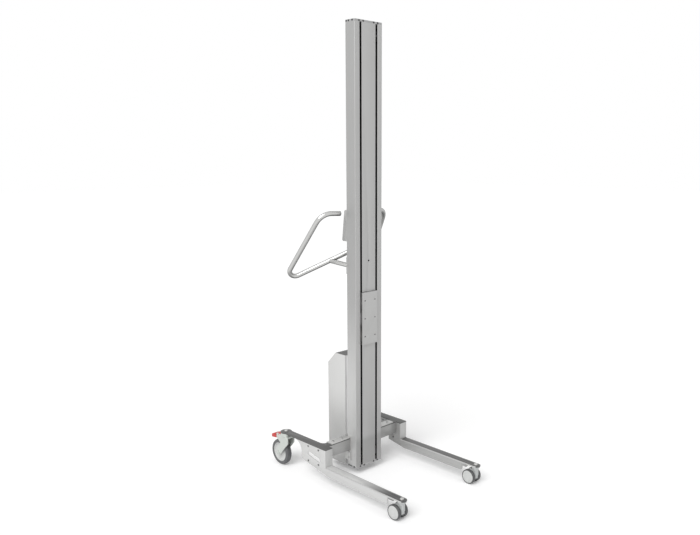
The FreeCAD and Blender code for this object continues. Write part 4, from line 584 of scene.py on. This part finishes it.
def soften(name, material, width, crease=35, painted_faces=()):
    """A cleaned copy of a CAD node with softened edges; chosen faces may get other colours that paint
    light, shade and reflections on them.
    """
    source = nodes[name]
    shape = bmesh.new()
    shape.from_mesh(source.data)
    bmesh.ops.remove_doubles(shape, verts=shape.verts, dist=MERGE_DISTANCE)
    limit = math.radians(FLAT_ANGLE)
    bmesh.ops.dissolve_limit(shape, angle_limit=limit, verts=shape.verts, edges=shape.edges)
    piece = new_piece(f"{name}_finish", shape, material)
    if width:
        bevel = piece.modifiers.new("Softened edges", "BEVEL")
        bevel.width = width / 1000
        bevel.segments = BEVEL_STEPS
        bevel.limit_method = "ANGLE"
        bevel.angle_limit = math.radians(BEVEL_ANGLE)
        bevel.use_clamp_overlap = True
        to_plain_mesh(piece)
    finish_mesh(piece, crease)
    for slot, (finish, chosen) in enumerate(painted_faces, start=1):
        piece.data.materials.append(finish)
        for face in piece.data.polygons:
            if chosen(face):
                face.material_index = slot
    settle(piece, source["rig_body"], SLOT_OF[name], name)


def lathe(name, profile, centre, material):
    """Turn a profile of (along X, radius) pairs round a line along X through the centre."""
    shape = bmesh.new()
    rings = []
    for step in range(LATHE_STEPS):
        angle = 2 * math.pi * step / LATHE_STEPS
        ring = []
        for along, radius in profile:
            spot = Vector((along, radius * math.cos(angle), radius * math.sin(angle))) / 1000
            ring.append(shape.verts.new(centre + spot))
        rings.append(ring)
    count = len(profile)
    for step in range(LATHE_STEPS):
        here = rings[step]
        following = rings[(step + 1) % LATHE_STEPS]
        for index in range(count):
            after = (index + 1) % count
            shape.faces.new((here[index], here[after], following[after], following[index]))
    bmesh.ops.remove_doubles(shape, verts=shape.verts, dist=1e-6)
    bmesh.ops.recalc_face_normals(shape, faces=shape.faces)
    return new_piece(name, shape, material)


# Geometry node trees for what repeats or follows a path

TUBE_SIDES = 40
SCREW_SIDES = 28


def new_tree(name, sockets):
    """A geometry tree with named inputs, and its input and output nodes."""
    tree = bpy.data.node_groups.new(name, "GeometryNodeTree")
    tree.interface.new_socket("Geometry", in_out="INPUT", socket_type="NodeSocketGeometry")
    for label, kind, value in sockets:
        socket = tree.interface.new_socket(label, in_out="INPUT", socket_type=kind)
        if value is not None:
            socket.default_value = value
    tree.interface.new_socket("Geometry", in_out="OUTPUT", socket_type="NodeSocketGeometry")
    return tree, tree.nodes.new("NodeGroupInput"), tree.nodes.new("NodeGroupOutput")


def make_tube_tree():
    """A round tube along the object's own path."""
    sockets = [
        ("Radius", "NodeSocketFloat", 0.0125),
        ("Sides", "NodeSocketInt", TUBE_SIDES),
        ("Finish", "NodeSocketMaterial", None),
    ]
    tree, start, end = new_tree("Tube along path", sockets)
    path = tree.nodes.new("GeometryNodeMeshToCurve")
    ring = tree.nodes.new("GeometryNodeCurvePrimitiveCircle")
    sweep = tree.nodes.new("GeometryNodeCurveToMesh")
    sweep.inputs["Fill Caps"].default_value = True
    real = tree.nodes.new("GeometryNodeRealizeInstances")
    coat = tree.nodes.new("GeometryNodeSetMaterial")
    link = tree.links.new
    link(start.outputs["Geometry"], path.inputs["Mesh"])
    link(start.outputs["Radius"], ring.inputs["Radius"])
    link(start.outputs["Sides"], ring.inputs["Resolution"])
    link(path.outputs["Curve"], sweep.inputs["Curve"])
    link(ring.outputs["Curve"], sweep.inputs["Profile Curve"])
    link(sweep.outputs["Mesh"], real.inputs["Geometry"])
    link(real.outputs["Geometry"], coat.inputs["Geometry"])
    link(start.outputs["Finish"], coat.inputs["Material"])
    link(coat.outputs["Geometry"], end.inputs["Geometry"])
    return tree


def make_scatter_tree():
    """One small piece set at every point of a mesh, with the point's stored direction and size."""
    sockets = [("Piece", "NodeSocketObject", None), ("Finish", "NodeSocketMaterial", None)]
    tree, start, end = new_tree("Pieces at points", sockets)
    points = tree.nodes.new("GeometryNodeMeshToPoints")
    model = tree.nodes.new("GeometryNodeObjectInfo")
    model.transform_space = "ORIGINAL"
    facing = tree.nodes.new("GeometryNodeInputNamedAttribute")
    facing.data_type = "FLOAT_VECTOR"
    facing.inputs["Name"].default_value = "facing"
    share = tree.nodes.new("GeometryNodeInputNamedAttribute")
    share.data_type = "FLOAT"
    share.inputs["Name"].default_value = "share"
    turn = tree.nodes.new("FunctionNodeAlignRotationToVector")
    turn.axis = "Z"
    copies = tree.nodes.new("GeometryNodeInstanceOnPoints")
    real = tree.nodes.new("GeometryNodeRealizeInstances")
    coat = tree.nodes.new("GeometryNodeSetMaterial")
    link = tree.links.new
    link(start.outputs["Geometry"], points.inputs["Mesh"])
    link(start.outputs["Piece"], model.inputs["Object"])
    link(facing.outputs["Attribute"], turn.inputs["Vector"])
    link(points.outputs["Points"], copies.inputs["Points"])
    link(model.outputs["Geometry"], copies.inputs["Instance"])
    link(turn.outputs["Rotation"], copies.inputs["Rotation"])
    link(share.outputs["Attribute"], copies.inputs["Scale"])
    link(copies.outputs["Instances"], real.inputs["Geometry"])
    link(real.outputs["Geometry"], coat.inputs["Geometry"])
    link(start.outputs["Finish"], coat.inputs["Material"])
    link(coat.outputs["Geometry"], end.inputs["Geometry"])
    return tree


TUBE_TREE = make_tube_tree()
SCATTER_TREE = make_scatter_tree()


def set_input(modifier, label, value):
    """Set a tree's input by its socket's identifier."""
    for item in modifier.node_group.interface.items_tree:
        if item.item_type == "SOCKET" and item.in_out == "INPUT" and item.name == label:
            modifier[item.identifier] = value


def tube(name, spots, radius, material):
    """A round bar along a path."""
    shape = bmesh.new()
    verts = [shape.verts.new(spot) for spot in spots]
    for first, second in zip(verts, verts[1:]):
        shape.edges.new((first, second))
    piece = new_piece(name, shape, material)
    modifier = piece.modifiers.new("Tube", "NODES")
    modifier.node_group = TUBE_TREE
    set_input(modifier, "Radius", radius / 1000)
    set_input(modifier, "Sides", TUBE_SIDES)
    set_input(modifier, "Finish", material)
    to_plain_mesh(piece)
    finish_mesh(piece, 60)
    return piece


def scatter(name, model, places, material):
    """Copies of a small model at (place, direction, share of its size) triples."""
    mesh = bpy.data.meshes.new(name)
    mesh.from_pydata([spot for spot, _, _ in places], [], [])
    mesh.attributes.new("facing", "FLOAT_VECTOR", "POINT")
    mesh.attributes.new("share", "FLOAT", "POINT")
    facing = mesh.attributes["facing"]
    share = mesh.attributes["share"]
    for index, (_, direction, amount) in enumerate(places):
        facing.data[index].vector = direction
        share.data[index].value = amount
    piece = bpy.data.objects.new(name, mesh)
    scene.collection.objects.link(piece)
    if not model.data.materials:
        model.data.materials.append(material)
    modifier = piece.modifiers.new("Copies", "NODES")
    modifier.node_group = SCATTER_TREE
    set_input(modifier, "Piece", model)
    set_input(modifier, "Finish", material)
    to_plain_mesh(piece)
    finish_mesh(piece, 35)
    return piece


def hidden_model(name, shape):
    """An object from a bmesh that is only copied, never shown."""
    mesh = bpy.data.meshes.new(name)
    shape.to_mesh(mesh)
    shape.free()
    return bpy.data.objects.new(name, mesh)


def make_screw_model(name, radius, height, dome, socket_radius):
    """A screw head along Z with a hexagon socket."""
    shape = bmesh.new()
    rings = []
    profile = [
        (radius, 0.0),
        (radius, height * dome),
        (radius * 0.9, height * 0.93),
        (radius * 0.78, height),
    ]
    for across, up in profile:
        ring = []
        for step in range(SCREW_SIDES):
            angle = 2 * math.pi * step / SCREW_SIDES
            spot = Vector((across * math.cos(angle), across * math.sin(angle), up)) / 1000
            ring.append(shape.verts.new(spot))
        rings.append(ring)
    for low, high in zip(rings, rings[1:]):
        for step in range(SCREW_SIDES):
            after = (step + 1) % SCREW_SIDES
            shape.faces.new((low[step], low[after], high[after], high[step]))
    hexagon_top = []
    hexagon_low = []
    sector = math.pi / 3
    for step in range(SCREW_SIDES):
        angle = 2 * math.pi * step / SCREW_SIDES
        within = (angle % sector) - sector / 2
        reach = socket_radius * math.cos(sector / 2) / math.cos(within)
        flat = Vector((reach * math.cos(angle), reach * math.sin(angle), 0)) / 1000
        hexagon_top.append(shape.verts.new(flat + UP * height / 1000))
        hexagon_low.append(shape.verts.new(flat + UP * height * 0.35 / 1000))
    for step in range(SCREW_SIDES):
        after = (step + 1) % SCREW_SIDES
        shape.faces.new((rings[-1][step], rings[-1][after], hexagon_top[after], hexagon_top[step]))
        shape.faces.new((hexagon_top[step], hexagon_top[after], hexagon_low[after], hexagon_low[step]))
    shape.faces.new(hexagon_low)
    shape.faces.new(list(reversed(rings[0])))
    bmesh.ops.recalc_face_normals(shape, faces=shape.faces)
    return hidden_model(name, shape)


# Mast and drive

STRAIGHT = 0.9
MAST_INSIDE_DEPTH = (0.0008, 0.0630)
MAST_INSIDE_REACH = 0.0910
MAST_SIDE_REACH = 0.0915


def inside_mast(face):
    """True for the walls inside the mast: tracks, chambers, gaps and holes."""
    start, end = MAST_INSIDE_DEPTH
    deep = start < face.center.y - MIDDLE_SHIFT < end
    return deep and abs(face.center.x) < MAST_INSIDE_REACH and abs(face.normal.z) < 0.5


def on_mast_side(face):
    """True for the outer side faces of the mast."""
    return abs(face.normal.x) > STRAIGHT and abs(face.center.x) > MAST_SIDE_REACH


def on_top(face):
    """True for faces that look straight up."""
    return face.normal.z > STRAIGHT


# Mast: its side faces take the lighter painted-light copy, and the walls inside its tracks and chambers are
# painted black as shade
soften(
    "mast_profile", anodised_mast, 0.6, painted_faces=[(mast_side_painted_light, on_mast_side), (painted_shade_black, inside_mast)]
)
soften("mast_top_cap", cap_metal, 0.6)
soften("mast_bottom_cap", cap_metal, 0.6)
soften("drive_frame", dark_frame, 0.4)
# Housing cover: its top faces carry painted dark reflection
soften("housing_cover", cover_steel, 0.5, painted_faces=[(top_painted_dark_reflection, on_top)])
soften("charging_inlet", black_plastic, 0.4)
soften("worm_gearbox", cast_grey, 1.2)
soften("lift_motor", motor_coat, 0.6)
soften("batteries", battery_case, 0.8)
soften("motor_controller", pulley_metal, 0.4)
soften("drive_belts", belt_rubber, 0.0, 50)
soften("shaft_bearings", turned_steel, 0.3)
soften("drive_shaft", turned_steel, 0.4)
soften("idler_shaft", turned_steel, 0.4)
soften("shaft_pulleys", pulley_metal, 0.0)
soften("idler_pulleys", pulley_metal, 0.0)
soften("motor_pulley", pulley_metal, 0.0)

# Carriage

TOOL_HOLE_ACROSS = 0.035
TOOL_HOLE_REACH = 0.0045


def in_tool_hole(face):
    """True for the walls of the tool plate's holes."""
    near = abs(abs(face.center.x) - TOOL_HOLE_ACROSS) < TOOL_HOLE_REACH
    return near and abs(face.normal.y) < 0.8 and abs(face.normal.z) < 0.999


# Tool plate: its top faces take the dark screw colour as a painted line of shade, and its holes are painted
# black as shade
soften(
    "carriage_plate", plate_metal, 0.5, painted_faces=[(dark_screws, on_top), (painted_shade_black, in_tool_hole)]
)
soften("carriage_webs", turned_steel, 0.3)
soften("roller_axles", turned_steel, 0.2)
soften("belt_clamps", pulley_metal, 0.5)
soften("upper_rollers", roller_plastic, 0.0, 30)
soften("lower_rollers", roller_plastic, 0.0, 30)

# Legs and arms

INNER_PLATE_REACH = 0.2545
STEP_LOW = 0.06
# Toe strips carry painted reflections: light then darkening on the left, dark on the right
TOE_PAINTED_REFLECTION = {"left": left_toe_painted_reflection, "right": right_toe_painted_dark_reflection}


def on_inner_plate(face):
    """True for the leg's side plate that faces the middle."""
    return abs(face.center.x) < INNER_PLATE_REACH


def on_step(face):
    """True for the step face that looks to the front."""
    return face.normal.y < -0.7 and face.center.z > STEP_LOW


# Painted shade on the legs' inner plates and step faces
LEG_PAINTED_SHADE = [(inner_plate_painted_shade, on_inner_plate), (step_painted_shade, on_step)]
for side in SIDES:
    soften(f"{side}_leg", leg_steel, 0.5, painted_faces=LEG_PAINTED_SHADE)
    # Top plates carry painted dark reflection over the whole plate
    soften(f"{side}_top_plate", top_painted_dark_reflection, 0.7)
    soften(f"{side}_toe_strip", TOE_PAINTED_REFLECTION[side], 0.7)
    soften(f"{side}_cross_arm", arm_steel, 1.2)
    soften(f"{side}_arm_bracket", bracket_steel, 0.8)
soften("leg_spacers", turned_steel, 0.3)
soften("caster_studs", bracket_steel, 0.0, 30)


# Screws, bolts and plugs, at the places that the CAD gives them

FRONT = Vector((0, -1, 0))
REAR = Vector((0, 1, 0))
LEG_CENTRE = 274
LEG_HALF = 24
LEG_SCREW_DEPTHS = (62, 142)
LEG_SCREW_HEIGHTS = (101, 180)
OUTER_ONLY = (142, 101)
COVER_SCREW_REACH = 65.52
COVER_TOP = (96, 634)
CAP_SCREW_REACH = 28.7
CAP_SCREW_DEPTHS = (8.3, 54.7)
CAP_TOP = 2275
CAP_FOOT = 36
BRACKET_SIDE = (97, 52.8)
BRACKET_HEIGHTS = (88, 118)
ARM_START = 92
ARM_LENGTH = 134
ARM_SHARES = (0.35, 0.8)
ARM_TOP = (60, 201)
HANDLE_PLATE_REACH = 78
HANDLE_PLATE_REAR = 70
HANDLE_BOLT_HEIGHTS = (1071, 1137)
PLUG_HEIGHTS = (41, 2270)
FRONT_PLUGS = (-62, -35, 35, 62)
SIDE_PLUGS = (16, 40.96, 56.96)
PLUG_FRONT = 0.1
PLUG_SIDE = 91.9


def outward(side):
    """The direction that looks away from the middle on one side."""
    return Vector((side, 0, 0))


def screw_places():
    """Small screw heads: legs, cover and mast caps."""
    places = []
    for side in SIDES.values():
        for y in LEG_SCREW_DEPTHS:
            for z in LEG_SCREW_HEIGHTS:
                faces = (side,) if (y, z) == OUTER_ONLY else (-1, 1)
                for face in faces:
                    seat = vec(LEG_CENTRE * side + LEG_HALF * face, y, z)
                    places.append((seat, outward(face), 1.0))
    for x in (-COVER_SCREW_REACH, COVER_SCREW_REACH):
        places.append((vec(x, *COVER_TOP), UP, 1.0))
    for x in (-CAP_SCREW_REACH, CAP_SCREW_REACH):
        for y in CAP_SCREW_DEPTHS:
            places.append((vec(x, y, CAP_TOP), UP, 0.9))
            places.append((vec(x, y, CAP_FOOT), -UP, 0.9))
    return places


def bolt_places():
    """Larger heads: arm brackets and handle plate."""
    places = []
    reach, depth = BRACKET_SIDE
    for side in SIDES.values():
        for z in BRACKET_HEIGHTS:
            places.append((vec(reach * side, depth, z), outward(side), 0.78))
        for share in ARM_SHARES:
            places.append((vec((ARM_START + ARM_LENGTH * share) * side, *ARM_TOP), UP, 1.0))
    for x in (-HANDLE_PLATE_REACH, HANDLE_PLATE_REACH):
        for z in HANDLE_BOLT_HEIGHTS:
            places.append((vec(x, HANDLE_PLATE_REAR, z), REAR, 1.0))
    return places


def plug_places():
    """Flanged black plugs in the small holes round both mast caps."""
    places = []
    for z in PLUG_HEIGHTS:
        for x in FRONT_PLUGS:
            places.append((vec(x, PLUG_FRONT, z), FRONT, 1.0))
        for side in SIDES.values():
            for y in SIDE_PLUGS:
                places.append((vec(PLUG_SIDE * side, y, z), outward(side), 1.0))
    return places


small_head = make_screw_model("small_head", 5.0, 1.6, 0.35, 2.2)
cap_plug = make_screw_model("cap_plug", 4.8, 0.8, 0.6, 1.2)
bolt_head = make_screw_model("bolt_head", 6.5, 5.0, 0.8, 3.2)
plugs = scatter("cap_plugs", cap_plug, plug_places(), plug_rubber)
settle(plugs, "chassis", "screw_steel")
screws = scatter("small_screw_heads", small_head, screw_places(), dark_screws)
settle(screws, "chassis", "screw_steel", "small_screws")
bolts = scatter("frame_bolt_heads", bolt_head, bolt_places(), turned_steel)
settle(bolts, "chassis", "screw_steel", "frame_bolts")


# Handle

BEND_STEPS = 14
HANDLE_HALF = [vec(0, 105, 1176), vec(296, 325, 1010), vec(222, 101, 1369), vec(117, 87, 1365)]
HANDLE_BENDS = (70, 33, 45, 33, 70)
HANDLE_RADIUS = 12.5


def bent_spots(corners, radii):
    """Points along straight runs and tangent arcs through the corners."""
    spots = [corners[0]]
    for index in range(1, len(corners) - 1):
        corner = corners[index]
        back = (corners[index - 1] - corner).normalized()
        ahead = (corners[index + 1] - corner).normalized()
        half = back.angle(ahead) / 2
        radius = radii[index - 1] / 1000
        centre = corner + (back + ahead).normalized() * (radius / math.sin(half))
        entry = corner + back * (radius / math.tan(half)) - centre
        leave = corner + ahead * (radius / math.tan(half)) - centre
        for step in range(BEND_STEPS + 1):
            turn = entry.slerp(leave, step / BEND_STEPS)
            spots.append(centre + turn.normalized() * radius)
    spots.append(corners[-1])
    return spots


def make_handle():
    """The bent tube, its end caps and its mounting plate with the stems."""
    left_half = [Vector((-v.x, v.y, v.z)) for v in reversed(HANDLE_HALF[1:])]
    corners = left_half + HANDLE_HALF
    bar = tube("handle_bar", bent_spots(corners, HANDLE_BENDS), HANDLE_RADIUS, handle_steel)
    settle(bar, "chassis", "handle_paint", "handle_tube")
    soften("handle_mount", handle_steel, 0.8, 40)
    soften("handle_end_caps", black_plastic, 0.8, 40)


make_handle()

# Control box

soften("control_base", tray_plastic, 0.8)
soften("control_cover", box_plastic, 0.5)
soften("battery_gauge", gauge_window, 0.4)
soften("up_button", green_plastic, 0.3, 30)
soften("down_button", pale_plastic, 0.3, 30)
soften("power_rocker", black_plastic, 0.4)

FACE_LOW = vec(0, 121, 1222)
FACE_TOP = vec(0, 103, 1380)
FACE_UP = (FACE_TOP - FACE_LOW).normalized()
FACE_OUT = Vector((1, 0, 0)).cross(FACE_UP) * -1


def face_spot(share, across, up, out):
    """A place on the sloping face of the control box, in millimetres from a share of its height."""
    middle = FACE_LOW + (FACE_TOP - FACE_LOW) * share
    return middle + (Vector((across, 0, 0)) + FACE_UP * up + FACE_OUT * out) / 1000


def raised_mark(name, share, across, corners, low, high, material, body, slot):
    """A flat mark on the face, from its outline, between two heights above the face."""
    shape = bmesh.new()
    floor_ring = [shape.verts.new(face_spot(share, across + x, z, low)) for x, z in corners]
    top_ring = [shape.verts.new(face_spot(share, across + x, z, high)) for x, z in corners]
    count = len(corners)
    for index in range(count):
        after = (index + 1) % count
        shape.faces.new((floor_ring[index], floor_ring[after], top_ring[after], top_ring[index]))
    shape.faces.new(top_ring)
    shape.faces.new(list(reversed(floor_ring)))
    bmesh.ops.recalc_face_normals(shape, faces=shape.faces)
    piece = new_piece(name, shape, material)
    finish_mesh(piece, 30)
    settle(piece, body, slot)


# Arrows on the buttons and charge bars on the gauge, each at its share of the face's height

ARROW = [(-6, -4), (0, -1), (6, -4), (6, -1), (0, 4), (-6, -1)]
ARROW_DOWN = [(x, -z) for x, z in ARROW]
UP_SHARE = 0.66
DOWN_SHARE = 0.36
raised_mark("up_arrow", UP_SHARE, 0, ARROW, 5.8, 6.3, pale_plastic, "up_button", "up_plastic")
raised_mark(
    "down_arrow", DOWN_SHARE, 0, ARROW_DOWN, 5.8, 6.3, black_plastic, "down_button", "down_plastic"
)

GAUGE_SHARE = 0.5
GAUGE_ACROSS = 46
BAR_HALF = 8
BAR_HEIGHT = 5
BAR_STEP = 8
LOWEST_BAR = -15
for index in range(4):
    low_edge = index * BAR_STEP + LOWEST_BAR
    high_edge = low_edge + BAR_HEIGHT
    bar = [(-BAR_HALF, low_edge), (BAR_HALF, low_edge), (BAR_HALF, high_edge), (-BAR_HALF, high_edge)]
    raised_mark(
        f"gauge_bar_{index}", GAUGE_SHARE, GAUGE_ACROSS, bar, 0.9, 1.2, gauge_bar, "chassis", "gauge_window"
    )


# Casters

# Profiles as (along the axle, radius) pairs, from the wheel's middle

REAR_TREAD = [
    (16, 52), (16, 61), (15.2, 65), (13, 67.6), (9, 69.0),
    (5.2, 69.7), (4.9, 68.7), (4.3, 68.7), (4.0, 69.75),
]
REAR_CROWN = (0, 69.85)
REAR_CORE = [
    (17.5, 6), (17.5, 13), (16.6, 14), (9.5, 17.5), (7.0, 20),
    (6.6, 40), (8.5, 44), (12.4, 46.6), (13, 48), (13, 52),
]
FRONT_RIM = [
    (30.6, 32.0), (31.9, 33.2), (31.4, 35.8), (28.6, 37.3),
    (15.8, 37.3), (13.0, 35.4), (12.2, 33.0), (16.5, 31.6),
]
FRONT_DISC = [
    (33.2, 0.01), (33.2, 6.5), (32.6, 7.4), (32.5, 21.5), (31.9, 22.4), (31.5, 28.5), (31.2, 31.0),
    (30.4, 32.4), (17.5, 32.2), (19.0, 14.0), (12.3, 9.0), (12.3, 4.1), (26.5, 4.1), (26.5, 0.01),
]
REAR_AXLE = (396, 70)
FRONT_AXLE = (-472, 37.5)
PEDAL_START = (394, 182)
PEDAL_LEAD = 6
PEDAL_SLOPE = -22.5 / 68
RIB_REACHES = (30, 38, 46, 54)
RIB_SIZE = (34, 2.6)


def mirrored(profile):
    """The same profile on the wheel's other side."""
    return [(-along, radius) for along, radius in reversed(profile)]


def make_rear_wheel(name, side):
    """Tyre with a crowned, grooved tread and a dished wheel centre."""
    centre = vec(LEG_CENTRE * side, *REAR_AXLE)
    body = f"rear_{name}_wheel"
    tread = REAR_TREAD + [REAR_CROWN] + mirrored(REAR_TREAD)
    tyre = lathe(f"rear_{name}_tread", tread, centre, tyre_rubber)
    finish_mesh(tyre, 40)
    settle(tyre, body, "tyre_rubber", f"rear_{name}_tyre")
    core = lathe(f"rear_{name}_disc", REAR_CORE + mirrored(REAR_CORE), centre, disc_plastic)
    finish_mesh(core, 30)
    settle(core, body, "core_plastic", f"rear_{name}_wheel_core")


def make_front_wheel(name, side, place, way):
    """Pale disc with a raised ring and a small hub cap, in a grey rubber rim."""
    centre = vec(LEG_CENTRE * side, *FRONT_AXLE)
    body = f"front_{name}_{place}_wheel"
    rim = [(along * way, radius) for along, radius in FRONT_RIM]
    tyre = lathe(f"front_{name}_{place}_rim", rim, centre, rim_rubber)
    finish_mesh(tyre, 50)
    settle(tyre, body, "front_wheel")
    disc = [(along * way, radius) for along, radius in FRONT_DISC]
    face = lathe(f"front_{name}_{place}_disc", disc, centre, disc_plastic)
    finish_mesh(face, 30)
    settle(face, body, "front_wheel", body)


def make_rib_model():
    """One raised rib of a pedal's tread, narrower at its top."""
    length, width = RIB_SIZE
    shape = bmesh.new()
    bmesh.ops.create_cube(shape, size=1.0)
    for vert in shape.verts:
        x, y, z = vert.co
        vert.co = Vector((x * length, y * (width - z), z + 0.3)) / 1000
    return hidden_model("pedal_rib", shape)


pedal_rib = make_rib_model()


def add_pedal_ribs(name, side):
    """Four ribs across the sloping top of a brake pedal."""
    facing = Vector((0, -PEDAL_SLOPE, 1)).normalized()
    start, top = PEDAL_START
    places = []
    for reach in RIB_REACHES:
        height = top + PEDAL_SLOPE * (reach + PEDAL_LEAD)
        seat = vec(LEG_CENTRE * side, start + reach, height)
        places.append((seat, facing, 1.0))
    ribs = scatter(f"rear_{name}_pedal_ribs", pedal_rib, places, pedal_plastic)
    settle(ribs, f"rear_{name}_pedal", "pedal_red")


for side, sign in SIDES.items():
    make_rear_wheel(side, sign)
    add_pedal_ribs(side, sign)
    soften(f"rear_{side}_fork", zinc_fork, 0.8)
    soften(f"rear_{side}_brake_pedal", pedal_plastic, 0.6)
    soften(f"front_{side}_hood", hood_plastic, 0.8)
    make_front_wheel(side, sign, "outer", sign)
    make_front_wheel(side, sign, "inner", -sign)


# Floor, light and camera

FLOOR_SIZE = 30
FLOOR_LIFT = 0.12
SOFT_LIGHT = 0.55
LAMP_TOWARD = Vector((-0.66, -0.20, 0.72)).normalized()
LAMP_STRENGTH = 2.04
LAMP_SPREAD = 40

# The camera as solved, in the picture's pixels, in degrees and in the drawing's millimetres

PICTURE_WIDTH = 700
PICTURE_HEIGHT = 535
FOCAL_LENGTH = 740.86
CENTRE_ACROSS = 372.33
CENTRE_DOWN = 298.8
SENSOR_WIDTH = 36
CAMERA_TURN = -44.52
CAMERA_DIP = 11.14
CAMERA_PLACE = vec(-2581.7, -2651.2, 1659.22)


def make_floor():
    """A wide pale floor that keeps soft shadows and reads as white around them."""
    shape = bmesh.new()
    bmesh.ops.create_grid(shape, x_segments=1, y_segments=1, size=FLOOR_SIZE)
    material, tree, shader = new_material("Pale floor")
    shader.inputs["Roughness"].default_value = 0.9
    shader.inputs["Specular IOR Level"].default_value = 0.0
    flat = mapped_place(tree, UNSTRETCHED)
    speck = noise_node(tree, flat, 3.0, 2.0)
    colour = mix_colour(tree, speck, (0.91, 0.91, 0.91), (0.93, 0.93, 0.93))
    tree.links.new(colour, shader.inputs["Base Color"])
    rays = tree.nodes.new("ShaderNodeLightPath")
    lift = tree.nodes.new("ShaderNodeEmission")
    lift.inputs["Color"].default_value = (1, 1, 1, 1)
    seen = math_node(tree, "MAXIMUM", rays.outputs["Is Camera Ray"], rays.outputs["Is Glossy Ray"])
    seen = math_node(tree, "MAXIMUM", seen, rays.outputs["Is Transmission Ray"])
    tree.links.new(math_node(tree, "MULTIPLY", seen, FLOOR_LIFT), lift.inputs["Strength"])
    both = tree.nodes.new("ShaderNodeAddShader")
    tree.links.new(shader.outputs[0], both.inputs[0])
    tree.links.new(lift.outputs[0], both.inputs[1])
    tree.links.new(both.outputs[0], tree.nodes["Material Output"].inputs["Surface"])
    floor = new_piece("studio_floor", shape, material)


def make_world():
    """White to the camera and to reflections, a plain soft light to the rest."""
    world = bpy.data.worlds.new("Studio")
    scene.world = world
    world.use_nodes = True
    tree = world.node_tree
    back = tree.nodes["Background"]
    rays = tree.nodes.new("ShaderNodeLightPath")
    seen = math_node(tree, "MAXIMUM", rays.outputs["Is Camera Ray"], rays.outputs["Is Transmission Ray"])
    seen = math_node(tree, "MAXIMUM", seen, rays.outputs["Is Glossy Ray"])
    tree.links.new(spread_value(tree, seen, SOFT_LIGHT, 1.0), back.inputs["Strength"])
    back.inputs["Color"].default_value = (1, 1, 1, 1)


def add_sun():
    """One broad lamp, the same over the whole floor, so that shadows are soft."""
    lamp = bpy.data.lights.new("Broad lamp", "SUN")
    lamp.energy = LAMP_STRENGTH
    lamp.angle = math.radians(LAMP_SPREAD)
    item = bpy.data.objects.new("Broad lamp", lamp)
    item.location = LAMP_TOWARD * 3
    item.rotation_euler = LAMP_TOWARD.to_track_quat("Z", "Y").to_euler()
    scene.collection.objects.link(item)


def make_camera():
    """The photograph's viewpoint, solved from the mast, the legs and the wheels."""
    camera = bpy.data.cameras.new("Viewpoint")
    camera.sensor_width = SENSOR_WIDTH
    camera.lens = FOCAL_LENGTH / PICTURE_WIDTH * SENSOR_WIDTH
    camera.shift_x = (PICTURE_WIDTH / 2 - CENTRE_ACROSS) / PICTURE_WIDTH
    camera.shift_y = (CENTRE_DOWN - PICTURE_HEIGHT / 2) / PICTURE_WIDTH
    camera.clip_end = 100
    item = bpy.data.objects.new("Viewpoint", camera)
    turn = math.radians(CAMERA_TURN)
    dip = math.radians(CAMERA_DIP)
    item.location = CAMERA_PLACE
    ahead = Vector((-math.sin(turn) * math.cos(dip), math.cos(turn) * math.cos(dip), -math.sin(dip)))
    item.rotation_euler = ahead.to_track_quat("-Z", "Y").to_euler()
    scene.collection.objects.link(item)
    scene.camera = item


make_floor()
make_world()
add_sun()
make_camera()
scene.view_settings.view_transform = "Standard"

bpy.context.view_layer.update()
